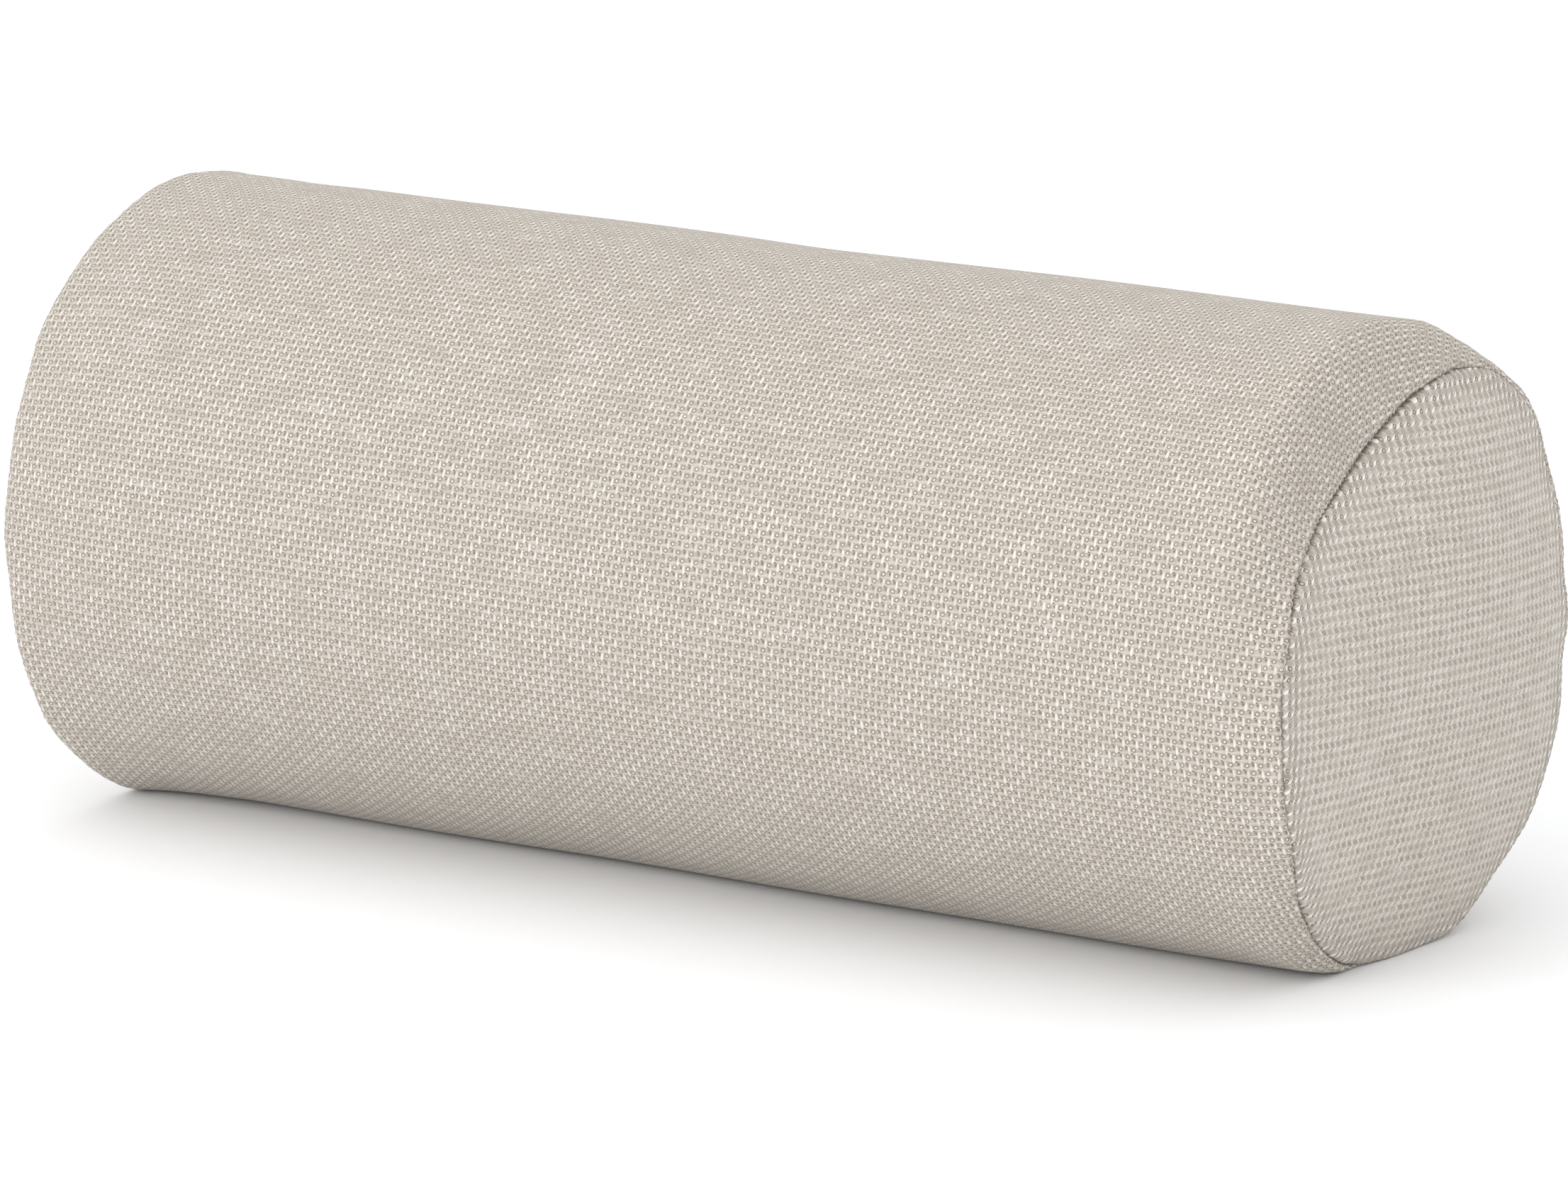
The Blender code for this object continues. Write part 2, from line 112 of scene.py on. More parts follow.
# A coil's middle, and how far its wire swings to each side and up and down
COIL_ACROSS, COIL_REACH, COIL_RISE = 1.65 * MM, 1.15 * MM, 0.8 * MM
TAPE_EDGES, TAPE_THICKER = (1.9, 15), (3.0, 14.6)  # mm from the zip's middle
TAPE_TOP, TAPE_BOTTOM = RADIUS - 1.5 * MM, RADIUS - 2.1 * MM
LABEL_TURNS = (41.5, 60)  # degrees
LABEL_DEPTH, LABEL_THICKNESS, LABEL_HANG = 1.8 * MM, 0.25 * MM, 1.6 * MM

# The inner cushion
LINER_DEPTH, WADDING_DEPTH, FOAM_DEPTH = 4.3 * MM, 6.2 * MM, 17.5 * MM


# Shader arithmetic


class Socket:
    """A shader socket that arithmetic can be written with."""

    def __init__(self, tree, socket):
        self.tree, self.socket = tree, socket

    def feed(self, target, value):
        if isinstance(value, Socket):
            self.tree.links.new(value.socket, target)
        else:
            target.default_value = value

    def maths(self, operation, *values):
        node = self.tree.nodes.new("ShaderNodeMath")
        node.operation = operation
        for target, value in zip(node.inputs, (self, *values)):
            self.feed(target, value)
        return Socket(self.tree, node.outputs[0])

    def __add__(self, other):
        return self.maths("ADD", other)

    def __sub__(self, other):
        return self.maths("SUBTRACT", other)

    def __mul__(self, other):
        return self.maths("MULTIPLY", other)

    def __truediv__(self, other):
        return self.maths("DIVIDE", other)

    def floor(self):
        return self.maths("FLOOR")

    def from_middle(self, period):
        """How far this is from the middle of its period, as a share of the period."""
        return ((self / period).maths("FRACT") - 0.5).size()

    def size(self):
        return self.maths("ABSOLUTE")

    def root(self):
        return self.maths("SQRT")

    def sine(self):
        return self.maths("SINE")

    def most(self, other):
        return self.maths("MAXIMUM", other)

    def least(self, other):
        return self.maths("MINIMUM", other)

    def over(self, limit):
        return self.maths("GREATER_THAN", limit)

    def rise(self, low, high):
        """0 up to low, 1 from high, and smooth between them."""
        node = self.tree.nodes.new("ShaderNodeMapRange")
        node.interpolation_type = "SMOOTHSTEP"
        self.feed(node.inputs["Value"], self)
        node.inputs["From Min"].default_value = low
        node.inputs["From Max"].default_value = high
        return Socket(self.tree, node.outputs["Result"])

    def fall(self, low, high):
        """1 up to low, 0 from high, and smooth between them."""
        return self.rise(low, high) * -1 + 1

    def mix(self, low, high):
        """The colour low where this is 0 and high where it is 1."""
        node = self.tree.nodes.new("ShaderNodeMix")
        node.data_type = "RGBA"
        self.feed(node.inputs["Factor"], self)
        for target, colour in ((node.inputs[6], low), (node.inputs[7], high)):
            self.feed(target, colour if isinstance(colour, Socket) else (*colour, 1))
        return Socket(self.tree, node.outputs[2])

    def parts(self):
        node = self.tree.nodes.new("ShaderNodeSeparateXYZ")
        self.feed(node.inputs[0], self)
        return [Socket(self.tree, output) for output in node.outputs]

    def scaled(self, factors):
        """This vector with each part times its own factor."""
        node = self.tree.nodes.new("ShaderNodeVectorMath")
        node.operation = "MULTIPLY"
        self.feed(node.inputs[0], self)
        node.inputs[1].default_value = factors
        return Socket(self.tree, node.outputs[0])

    def noise(self, scale, detail=2.0):
        """Smooth noise of this vector, from 0 to 1."""
        node = self.tree.nodes.new("ShaderNodeTexNoise")
        self.feed(node.inputs["Vector"], self)
        node.inputs["Scale"].default_value = scale
        node.inputs["Detail"].default_value = detail
        return Socket(self.tree, node.outputs["Fac"])

    def cells(self, scale):
        """The distance to the nearest of scattered points in this vector's space."""
        node = self.tree.nodes.new("ShaderNodeTexVoronoi")
        self.feed(node.inputs["Vector"], self)
        node.inputs["Scale"].default_value = scale
        return Socket(self.tree, node.outputs["Distance"])

    def chance(self, other):
        """A random number from 0 to 1 for each pair of whole numbers."""
        node = self.tree.nodes.new("ShaderNodeTexWhiteNoise")
        node.noise_dimensions = "2D"
        self.feed(node.inputs["Vector"], joined(self, other))
        return Socket(self.tree, node.outputs["Value"])


def joined(x, y):
    """A vector socket of two numbers."""
    node = x.tree.nodes.new("ShaderNodeCombineXYZ")
    x.feed(node.inputs[0], x)
    x.feed(node.inputs[1], y)
    return Socket(x.tree, node.outputs[0])


class Finish:
    """A material with a Principled shader, whose colour, roughness and relief come from nodes."""

    def __init__(self, name, metallic=0.0, sheen=0.0, specular=0.3):
        self.material = bpy.data.materials.new(name)
        self.material.use_nodes = True
        self.tree = self.material.node_tree
        self.shader = self.tree.nodes["Principled BSDF"]
        self.shader.inputs["Metallic"].default_value = metallic
        self.shader.inputs["Sheen Weight"].default_value = sheen
        self.shader.inputs["Specular IOR Level"].default_value = specular

    def attribute(self, name):
        node = self.tree.nodes.new("ShaderNodeAttribute")
        node.attribute_name = name
        return Socket(self.tree, node.outputs["Vector"])

    def place(self):
        node = self.tree.nodes.new("ShaderNodeTexCoord")
        return Socket(self.tree, node.outputs["Object"])

    def colour(self, value):
        self.tree.links.new(value.socket, self.shader.inputs["Base Color"])

    def roughness(self, value):
        self.tree.links.new(value.socket, self.shader.inputs["Roughness"])

    def relief(self, height, depth, strength=1.0):
        node = self.tree.nodes.new("ShaderNodeBump")
        node.inputs["Strength"].default_value = strength
        node.inputs["Distance"].default_value = depth
        self.tree.links.new(height.socket, node.inputs["Height"])
        self.tree.links.new(node.outputs["Normal"], self.shader.inputs["Normal"])


# The woven cover: each row of the weave has upright cream floats, with a round knot beside each

CREAM = (0.73, 0.695, 0.65)
BEIGE = (0.56, 0.512, 0.454)
TAUPE = (0.37, 0.327, 0.275)
# Painted shade, for the weave's pits, rings and slashes
SHADE = (0.212, 0.182, 0.146)
# Painted shade for the end weave's hollows
HOLLOW_SHADE = (0.33, 0.292, 0.25)
# Painted shade for the seams' grooves
CREVICE_SHADE = (0.10, 0.08, 0.06)
# The third colour is partly the pale yarn and partly a painted highlight on the raised strokes and legs
BIAS_DARK, BIAS_LIGHT, BIAS_YARN_HIGHLIGHT = (0.40, 0.358, 0.305), (0.66, 0.61, 0.55), (0.88, 0.845, 0.80)
FLOAT_PERIOD, ROW_PITCH, ROW_SHIFT = 4.2, 2.13, 0.45  # mm, mm and a share of the period


def oval(x, y, half_x, half_y):
    """How far out of an oval a point is: 0 at its middle and 1 on its outline."""
    a, b = x / half_x, y / half_y
    return a * a + b * b


def tilted(x, y, degrees):
    """x and y measured on axes turned this far anticlockwise."""
    c, s = math.cos(math.radians(degrees)), math.sin(math.radians(degrees))
    return x * c + y * s, y * c - x * s


def weave_cell(u, v, row):
    """Coordinates in mm from the middle of a float of this row, and a random number for the float."""
    along = u / FLOAT_PERIOD + row * ROW_SHIFT
    column = along.floor()
    luck = column.chance(row)
    x = (along - column - 0.35) * FLOAT_PERIOD - (luck - 0.5) * 0.3
    y = v - (row + 0.5) * ROW_PITCH
    return x, y, luck


def float_body(x, y):
    """The cream float: a drop with its bulb at the bottom."""
    half_width = (y / 1.3) * -0.13 + 0.47
    a, b = x / half_width, y / 1.3
    return a * a + b * b * b * b


def body_weave():
    finish = Finish("woven_cover_body", sheen=0.15, specular=0.2)
    flat = finish.attribute("weave")
    wander = flat.noise(0.22, 1.0)
    u, v, to_seam = flat.parts()
    u = u + (wander - 0.5) * 0.9
    v = v + (flat.scaled((1.0, 0.4, 1)).noise(0.3, 1.0) - 0.5) * 0.5
    rows = v / ROW_PITCH
    row = rows.floor()
    near = (rows - row).over(0.5) * 2 - 1 + row

    x, y, luck = weave_cell(u, v, row)
    x2, y2, luck2 = weave_cell(u, v, near)
    here, there = float_body(x, y), float_body(x2, y2)
    floats = here.fall(0.55, 1.25).most(there.fall(0.55, 1.25))

    # Beside the float: a knot in a ring, pits, and the weft that crosses behind it. The ring and the pits are
    # painted shade.
    xb, yb = x - 1.36, y - 0.32
    reach = (xb * xb + yb * yb).root()
    knot = reach.fall(0.24, 0.46)
    ring = (reach - 0.56).size().fall(0.06, 0.26)
    pits = oval(x + 0.80, y - 0.55, 0.36, 0.52).fall(0.3, 1.3)
    pits = pits.most(oval(x - 0.70, y + 0.95, 0.42, 0.26).fall(0.3, 1.3))
    weft = (y + 0.50).size().fall(0.22, 0.50)

    strands = joined(u * 5.0, v * 0.9).noise(1.0, 2.0)
    threads = joined(u * 0.9, v * 4.0).noise(1.0, 2.0)
    ground = (threads.rise(0.35, 0.65) * 0.55 + weft * 0.55).least(1.0).mix(TAUPE, BEIGE)
    # Painted shade in the pits and in the ring round the knot, where the relief sinks
    ground = (pits.most(ring * 0.75)).mix(ground, SHADE)
    ground = (knot * 0.85).mix(ground, CREAM)
    faded = luck.most(luck2).rise(0.5, 1.0) * 0.6
    yarn = (strands * 0.75 + 0.42 - faded).least(1.0).mix(BEIGE, CREAM)
    tone = mottled_with_groove_shade(flat, to_seam, floats.mix(ground, yarn))
    finish.colour(tone)
    finish.roughness(floats * -0.12 + 0.92)
    height = floats * 0.9 + knot * 0.6 + weft * 0.35 - pits * 0.5 - ring * 0.3 + strands * 0.2
    finish.relief(height, 0.35 * MM, 0.8)
    return finish.material


def mottled_with_groove_shade(flat, to_seam, tone):
    """The cloth's tone with its darker slubs and clouds, and painted shade in the seams' grooves."""
    slubs = flat.scaled((0.06, 0.47, 0)).noise(1.0, 2.0)
    clouds = flat.scaled((1, 1, 0)).noise(0.11, 4.0).rise(0.42, 0.75)
    tone = (slubs.rise(0.52, 0.75) * 0.34 + clouds * 0.24).mix(tone, TAUPE)
    tone = (slubs.fall(0.28, 0.46) * 0.2).mix(tone, CREAM)
    # Painted shade: the colour goes towards near black close to a seam's groove, less where the groove is
    # shut
    groove = to_seam.fall(0.1, 0.95) * flat.noise(0.7, 2.0).rise(0.3, 0.6)
    return (groove * 0.75).mix(tone, CREVICE_SHADE)


END_PERIOD, END_PITCH, END_TILT = 2.95, 3.0, -4.5  # mm, mm and degrees


def bias_cell(u, v, over, up):
    """Coordinates in mm from the middle of a bias cell, on a grid moved over and up, and its luck."""
    along, rows = (u - over) / END_PERIOD, (v - up) / END_PITCH
    column, row = along.floor(), rows.floor()
    luck = column.chance(row + up)
    x = (along - column - 0.5) * END_PERIOD - (luck - 0.5) * 0.3
    return x, (rows - row - 0.5) * END_PITCH, luck


def end_weave():
    """The same cloth cut on the bias: hollows between zigzags of yarn, with plump floats by the seam. The
    hollows, the slashes and the rings round the floats are painted shade.
    """
    finish = Finish("woven_cover_end", sheen=0.15, specular=0.2)
    flat = finish.attribute("weave")
    wander = flat.noise(0.22, 1.0)
    u, v, to_seam = flat.parts()
    u, v = tilted(u, v, END_TILT)
    u = u + (wander - 0.5) * 0.9
    v = v + (flat.scaled((1.0, 0.4, 1)).noise(0.3, 1.0) - 0.5) * 0.6
    by_seam = to_seam.fall(4.0, 11.0)
    half_row = END_PITCH / 2

    x, y, luck = bias_cell(u, v, 0.9, 0)
    hx, hy = tilted(x, y, -30)
    hollow = oval(hx, hy, 1.2, 0.72).fall(0.2, 1.4) * (luck * 0.55 + 0.45)
    x, y, luck = bias_cell(u, v, -0.55, 0)
    lx, ly = tilted(x, y, -41)
    leg = oval(lx, ly, 1.1, 0.24).fall(0.4, 1.5) * (luck * 0.5 + 0.2) * (by_seam * -0.7 + 1)
    x, y, luck = bias_cell(u, v, -0.55, half_row)
    sx, sy = tilted(x, y, 42)
    stroke = oval(sx, sy / (by_seam * 0.7 + 1), 1.15, 0.28).fall(0.5, 1.5)
    stroke_highlight = stroke * (luck * -0.35 + 1.0)
    band = y.size().fall(0.25, 1.1)
    x, y, luck = bias_cell(u, v, 0.72, half_row)
    dx, dy = tilted(x, y, 40)
    slash = oval(dx, dy, 0.62, 0.22).fall(0.3, 1.3) * (luck * 0.6 + 0.4)
    ring = ((x * x + y * y).root() - 0.52).size().fall(0.08, 0.28) * by_seam

    strands = joined(*(s * k for s, k in zip(tilted(u, v, 42), (0.9, 4.0)))).noise(1.0, 2.0)
    yarn = (strands * 0.75 + band * 0.3).least(1.0).mix(BIAS_DARK, BIAS_LIGHT)
    # Painted shade in the hollows
    tone = hollow.mix(yarn, HOLLOW_SHADE)
    # Partly the pale yarn and partly a painted highlight on the raised strokes and legs
    tone = stroke_highlight.most(leg).mix(tone, BIAS_YARN_HIGHLIGHT)
    # Painted shade in the slashes and in the rings round the plump floats
    tone = (slash * (by_seam * -1 + 1)).most(ring).mix(tone, SHADE)
    finish.colour(mottled_with_groove_shade(flat, to_seam, tone))
    finish.roughness(hollow * 0.08 + 0.84)
    height = stroke * 0.9 + leg * 0.5 - hollow * 0.6 - slash * 0.5 - ring * 0.3 + strands * 0.2
    finish.relief(height, 0.4 * MM, 0.9)
    return finish.material


# The skin's shape


def periodic(values, turn):
    """A smooth closed curve through evenly spaced values, read at these turns."""
    waves = np.fft.rfft(values) / len(values)
    waves[1:-1] *= 2
    return sum((wave * np.exp(1j * k * np.asarray(turn))).real for k, wave in enumerate(waves))


def pucker(turns):
    """Broad, uneven folds round an end seam, from -1 to 1."""
    return np.sin(13 * turns + 2 * np.sin(4 * turns)) * (0.65 + 0.35 * np.sin(5 * turns + 1))


def seam_at(turn, side):
    """The x and radius of an end seam at this turn, with x measured towards that end."""
    x, radius = (periodic(part, turn) * MM for part in zip(*SEAM_LINES[side]))
    wave = 0.25 * MM * np.sin(9 * turn + side) + 0.2 * MM * np.sin(17 * turn + 2 * side)
    if side > 0:
        wave = wave - 0.5 * MM * pucker(turn)
    return SEAM_X + x + wave, SEAM_RADIUS + radius + 0.4 * wave - ROLL[side]


def smooth(low, high, value):
    """0 up to low, 1 from high, and smooth between them."""
    share = np.clip((value - low) / (high - low), 0, 1)
    return share * share * (3 - 2 * share)


def pressed(points):
    """The points with what would be under the floor pressed flat, softly."""
    points = points.copy()
    z = points[..., 2]
    points[..., 2] = (z + np.sqrt(z * z + PRESS_SOFTNESS**2)) / 2 - 0.1 * MM
    return points


def above_floor(points):
    return np.concatenate([points[..., :2], np.maximum(points[..., 2:], 0)], -1)


def on_roll(x, radius, turn):
    x, radius, turn = np.broadcast_arrays(x, radius, turn)
    return np.stack([x, radius * np.cos(turn), radius * np.sin(turn) + AXIS_Z], -1)


def outwards(turn):
    """The direction straight out from the roll's axis."""
    return on_roll(0, 1, turn) - [0, 0, AXIS_Z]


def away_from_zip(turns):
    """0 at the zip and 1 well away from it."""
    arc = (np.mod(turns - ZIP_TURN + math.pi, TAU) - math.pi) * RADIUS
    return 1 - np.exp(-((arc / (26 * MM)) ** 2))


def body_shape(turns, share):
    """The tube. A share runs to 1 along half of the straight part, and from 1 to 2 along its shoulder."""
    x, radius = np.zeros(np.broadcast_shapes(turns.shape, share.shape)), 0
    shoulder = np.clip(np.abs(share) - 1, 0, 1)
    for side in (1, -1):
        seam_x, seam_radius = seam_at(turns, side)
        start = SHOULDER_X[side]
        t = shoulder * SHOULDER_TURN
        here = np.sign(share) == side
        along = start * np.minimum(np.abs(share), 1) + (seam_x - start) * np.sin(t) / math.sin(SHOULDER_TURN)
        drop = (RADIUS - seam_radius - ROLL[side]) * (1 - np.cos(t)) / (1 - math.cos(SHOULDER_TURN))
        drop = drop + ROLL[side] * (1 - np.sqrt(1 - 0.97 * np.clip((shoulder - 0.84) / 0.16, 0, 1) ** 2))
        x = x + here * side * along
        radius = radius - here * drop
    swell = 0.15 * MM * np.sin(3 * turns + 9 * share) + 0.15 * MM * np.cos(2 * turns - 5 * share)
    swell = swell * (1 - shoulder) * away_from_zip(turns)
    return pressed(on_roll(x, RADIUS + radius + swell, turns))


def end_shape(turns, share, side):
    """A domed end: share is 1 at its seam and 0 in its middle."""
    seam_x, seam_radius = seam_at(turns, side)
    middle_x = SEAM_X + CROWN[side]
    dome = 1 - share**2.3
    x = seam_x * (1 - dome) + middle_x * dome
    slack = np.sin(3 * turns + 2) * np.sin(share * 9) + 0.7 * np.sin(5 * turns - 6 * share)
    x = x + 0.55 * MM * slack * dome * share
    return pressed(on_roll(side * x, seam_radius * share, turns))


def normals(points, closed):
    """The unit normal at each point of a grid whose rows run along +X and columns run up, over and round."""
    if closed:
        padded = np.concatenate([points[:, -1:], points, points[:, :1]], 1)
        across = padded[:, 2:] - padded[:, :-2]
    else:
        across = np.gradient(points, axis=1)
    along = np.gradient(points, axis=0)
    out = np.cross(across, along)
    return out / np.maximum(np.linalg.norm(out, axis=-1, keepdims=True), 1e-12)


def seam_depth(turns):
    """How open an end seam's groove is: up to 1 round the front, and at most 0.3 round the back."""
    uneven = 0.85 + 0.15 * np.sin(11 * turns + 3 * np.sin(5 * turns))
    return (0.3 + 0.7 * smooth(-0.35, 0, np.cos(turns - math.radians(168)))) * uneven


def seam_relief(turns, distance, side):
    """How far the skin stands out at this distance from an end seam: a stitched groove between lips."""
    stitch = 0.5 + 0.5 * np.cos(STITCHES * turns)
    groove = -(0.35 + 1.05 * stitch) * seam_depth(turns) * MM * np.exp(-((distance / (0.85 * MM)) ** 2))
    lip = 0.28 * MM * (1 - 0.6 * stitch) * np.exp(-(((distance - 2.0 * MM) / (1.2 * MM)) ** 2))
    gather = np.sin(57 * turns + 2 * np.sin(7 * turns)) * np.sin(23 * turns + 1)
    gather = 0.22 * MM * gather * np.exp(-distance / (5 * MM)) * (1 - np.exp(-distance / (1.5 * MM)))
    fade = np.exp(-distance / (16 * MM)) * (1 - np.exp(-distance / (4 * MM)))
    return groove + lip + gather + np.where(side > 0, 0.8, 0.2) * MM * pucker(turns) * fade


def inset(points, depth):
    """The same shape nested inside itself, this far in."""
    middle = np.array([0, 0, AXIS_Z])
    return middle + (points - middle) * (1 - np.asarray(depth)[..., None] / [SEAM_X, RADIUS, RADIUS])


# Meshes


def object_of(name, points, faces, material, weave=None):
    """A smooth piece. weave is each point's place on its cloth or thread, with its way to a seam if any."""
    mesh = bpy.data.meshes.new(name)
    mesh.from_pydata(np.asarray(points).tolist(), [], faces)
    mesh.materials.append(material)
    mesh.shade_smooth()
    if weave is not None:
        flat = np.zeros((len(points), 3), np.float32)
        flat[:, : weave.shape[1]] = weave
        mesh.attributes.new("weave", "FLOAT_VECTOR", "POINT").data.foreach_set("vector", flat.ravel())
    piece = bpy.data.objects.new(name, mesh)
    bpy.context.scene.collection.objects.link(piece)
    return piece


def grid_faces(rows, columns, closed=False, start=0):
    """The faces of a grid whose points are numbered along its rows."""
    i, j = np.meshgrid(np.arange(rows - 1), np.arange(columns if closed else columns - 1), indexing="ij")
    i, j = i.ravel() * columns + start, j.ravel()
    k = (j + 1) % columns
    return np.stack([i + j, i + k, i + k + columns, i + j + columns], 1).tolist()


def welded(piece):
    """Joins the points that lie together, and turns every face outwards."""
    bm = bmesh.new()
    bm.from_mesh(piece.data)
    bmesh.ops.remove_doubles(bm, verts=bm.verts, dist=0.01 * MM)
    bmesh.ops.recalc_face_normals(bm, faces=bm.faces)
    bm.to_mesh(piece.data)
    bm.free()
    return piece


def thick_sheet(name, outer, inner, weave, material, closed=False):
    """A sheet with two faces and its rims, from the grids of its outer and inner points."""
    rows, columns = outer.shape[:2]
    under = rows * columns
    faces = grid_faces(rows, columns, closed)
    faces += [face[::-1] for face in grid_faces(rows, columns, closed, start=under)]
    number = np.arange(under).reshape(rows, columns)
    rims = [number[0], number[-1, ::-1]]
    if closed:
        rims = [np.append(rim, rim[0]) for rim in rims]
    else:
        rims += [number[::-1, 0], number[:, -1]]
    for rim in rims:
        faces += [(int(b), int(a), int(a) + under, int(b) + under) for a, b in zip(rim, rim[1:])]
    points = np.concatenate([outer.reshape(-1, 3), inner.reshape(-1, 3)])
    weave = np.tile(weave.reshape(-1, 2), (2, 1))
    return welded(object_of(name, points, faces, material, weave))


def tubes(name, middle, radius, facing, material):
    """Closed tubes: middle has a line of points for each, and radius a number for each place along them."""
    strands, places = middle.shape[:2]
    along = np.gradient(middle, axis=1)
    across = np.cross(along, facing)
    across /= np.linalg.norm(across, axis=-1, keepdims=True)
    up = np.cross(across, along)
    up /= np.linalg.norm(up, axis=-1, keepdims=True)
    angle = np.arange(TUBE_SIDES) * TAU / TUBE_SIDES
    offset = np.cos(angle)[:, None] * across[..., None, :] + np.sin(angle)[:, None] * up[..., None, :]
    points = middle[..., None, :] + offset * np.broadcast_to(radius, places)[:, None, None]
    one = grid_faces(places, TUBE_SIDES, closed=True)
    count = places * TUBE_SIDES
    one += [list(range(TUBE_SIDES))[::-1], list(range(count - TUBE_SIDES, count))]
    faces = [[i + strand * count for i in face] for strand in range(strands) for face in one]
    length = np.cumsum(np.linalg.norm(along, axis=-1), 1) / MM
    weave = np.stack(np.broadcast_arrays(length[..., None], angle / TAU), -1)
    return welded(object_of(name, points.reshape(-1, 3), faces, material, weave.reshape(-1, 2)))


def stitches(name, line, count, radius, material):
    """Separate stitches with sunken ends. line gives points and outward directions at places from 0 to 1."""
    place = np.linspace(-1, 1, 7)
    middle, out = line((np.arange(count)[:, None] + 0.5 + place * STITCH_SHARE / 2) / count)
    middle = middle + out * ((1 - place**4) * 1.2 * radius - 0.9 * radius)[None, :, None]
    return tubes(name, middle, radius * (1 - 0.55 * place**6), out, material)


def stand_in(piece, body, slot, *nodes):
    """Makes the piece ride on a body and stand for these CAD nodes."""
    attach(piece, body)
    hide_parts(*nodes)


# The cloth's own settling


def settled_cloth():
    """How far air pressure moves each point of a coarse grid of the tube (0) and of each end (1, -1)."""
    turns = (np.arange(AROUND) * TAU / AROUND)[None]
    tube = body_shape(turns, np.linspace(-2, 2, TUBE_ROWS)[:, None])
    right, left = (end_shape(turns, np.linspace(1, END_HOLE, END_ROWS)[:, None], side) for side in (1, -1))
    grid = np.concatenate([left[:0:-1], tube, right[1:]])
    last = END_ROWS - 1

    # It is held at both end seams, along the zip and on the floor, and starts smaller between them
    row = np.arange(len(grid))[:, None]
    seam_rows = np.array([last, last + TUBE_ROWS - 1])
    from_seam = np.abs(row - seam_rows).min(1, keepdims=True)
    on_tube = (row > seam_rows[0]) & (row < seam_rows[1])
    arc = np.abs(np.mod(turns - ZIP_TURN + math.pi, TAU) - math.pi) * RADIUS
    free = smooth(0, 4, from_seam) * np.where(on_tube, smooth(22 * MM, 50 * MM, arc), 1)
    free = free * smooth(3 * MM, 20 * MM, grid[..., 2])
    start = grid - normals(grid, closed=True) * START_SMALLER * free[..., None]
    faces = grid_faces(*grid.shape[:2], closed=True)
    cloth = object_of("settling", start.reshape(-1, 3), faces, None)
    cloth.vertex_groups.new(name="held").add(np.flatnonzero(free.ravel() == 0).tolist(), 1.0, "REPLACE")

    modifier = cloth.modifiers.new("Cloth", "CLOTH")
    modifier.collision_settings.use_collision = False
    settings = modifier.settings
    settings.vertex_group_mass = "held"
    settings.quality = 6
    settings.mass = 0.02
    settings.tension_stiffness = settings.compression_stiffness = 12
    settings.shear_stiffness = 6
    settings.bending_stiffness = 0.8
    settings.shrink_min = -0.003  # a little slack
    settings.use_pressure = True
    settings.uniform_pressure_force = 4
    settings.effector_weights.gravity = 0
    scene = bpy.context.scene
    for number in range(1, SETTLING_FRAMES + 1):
        scene.frame_set(number)
    settled = cloth.evaluated_get(bpy.context.evaluated_depsgraph_get()).data
    points = np.empty(grid.size, np.float32)
    settled.vertices.foreach_get("co", points)
    scene.frame_set(1)
    bpy.data.meshes.remove(cloth.data)  # and the object with it

    move = points.reshape(grid.shape) - grid
    far = np.linalg.norm(move, axis=-1, keepdims=True)
    move *= np.minimum(1, MOST_MOVE / np.maximum(far, 1e-9))
    for _ in range(SMOOTHINGS):
        padded = np.concatenate([move[:1], move, move[-1:]])
        move = (padded[:-2] + 2 * padded[1:-1] + padded[2:]) / 4
    move *= smooth(0, 2, from_seam)[..., None]
    return {-1: move[last::-1], 0: move[last : last + TUBE_ROWS], 1: move[last + TUBE_ROWS - 1 :]}


def between(field, row, column):
    """The field read between its rows and its columns, which run round, along smooth curves."""
    i, j = np.floor(row).astype(int), np.floor(column).astype(int)
    parts = []
    for t in (row - i, column - j):
        t2, t3 = t * t, t * t * t
        before, after = (2 * t2 - t - t3) / 2, (t3 - t2) / 2
        parts.append((before, (2 - 5 * t2 + 3 * t3) / 2, (t + 4 * t2 - 3 * t3) / 2, after))
    total = 0
    for a, down in enumerate(parts[0], -1):
        for b, across in enumerate(parts[1], -1):
            value = field[np.clip(i + a, 0, len(field) - 1), (j + b) % field.shape[1]]
            total = total + (down * across)[..., None] * value
    return total


# The cover

# From a seam to each of the rings of points beside it, closer by the groove
SEAM_DISTANCES = [0, 0.3, 0.6, 0.9, 1.25, 1.65, 2.1, 2.6, 3.2, 4, 5, 6.5, 8.5, 11, 14, 18, 22, 27]
SEAM_DISTANCES = np.array(SEAM_DISTANCES) * MM
SHOULDER_LENGTH = 30 * MM


def body_rows():
    """The shares along the tube of its rows, from -2 at one end seam to 2 at the other."""
    window_end = WINDOW_HALF_LENGTH + np.arange(-2, 3) * 0.8 * MM
    halves = {}
    for side in (1, -1):
        shoulder = 2 - SEAM_DISTANCES / SHOULDER_LENGTH
        straight = np.linspace(0, 1, 23)
        halves[side] = np.unique(np.concatenate([straight, window_end / SHOULDER_X[side], shoulder]))
    return np.concatenate([-halves[-1][:0:-1], halves[1]])


def edge_gap(x):
    """Half the gap between the tube's lengthways edges: the zip's window, and a closed seam beyond it."""
    closed = smooth(WINDOW_HALF_LENGTH - 1.5 * MM, WINDOW_HALF_LENGTH + 1.5 * MM, np.abs(x))
    return WINDOW_EDGE + (CLOSED_EDGE - WINDOW_EDGE) * closed


def column_shares():
    """Where the tube's columns are, from 0 at the zip's upper edge to 1 at its lower, closer near both."""
    near = np.arange(0, 10.5, 0.5) * MM / (TAU * RADIUS)
    middle = np.linspace(near[-1], 1 - near[-1], COLUMNS - 2 * len(near) + 2)[1:-1]
    return np.concatenate([near, middle, 1 - near[::-1]])


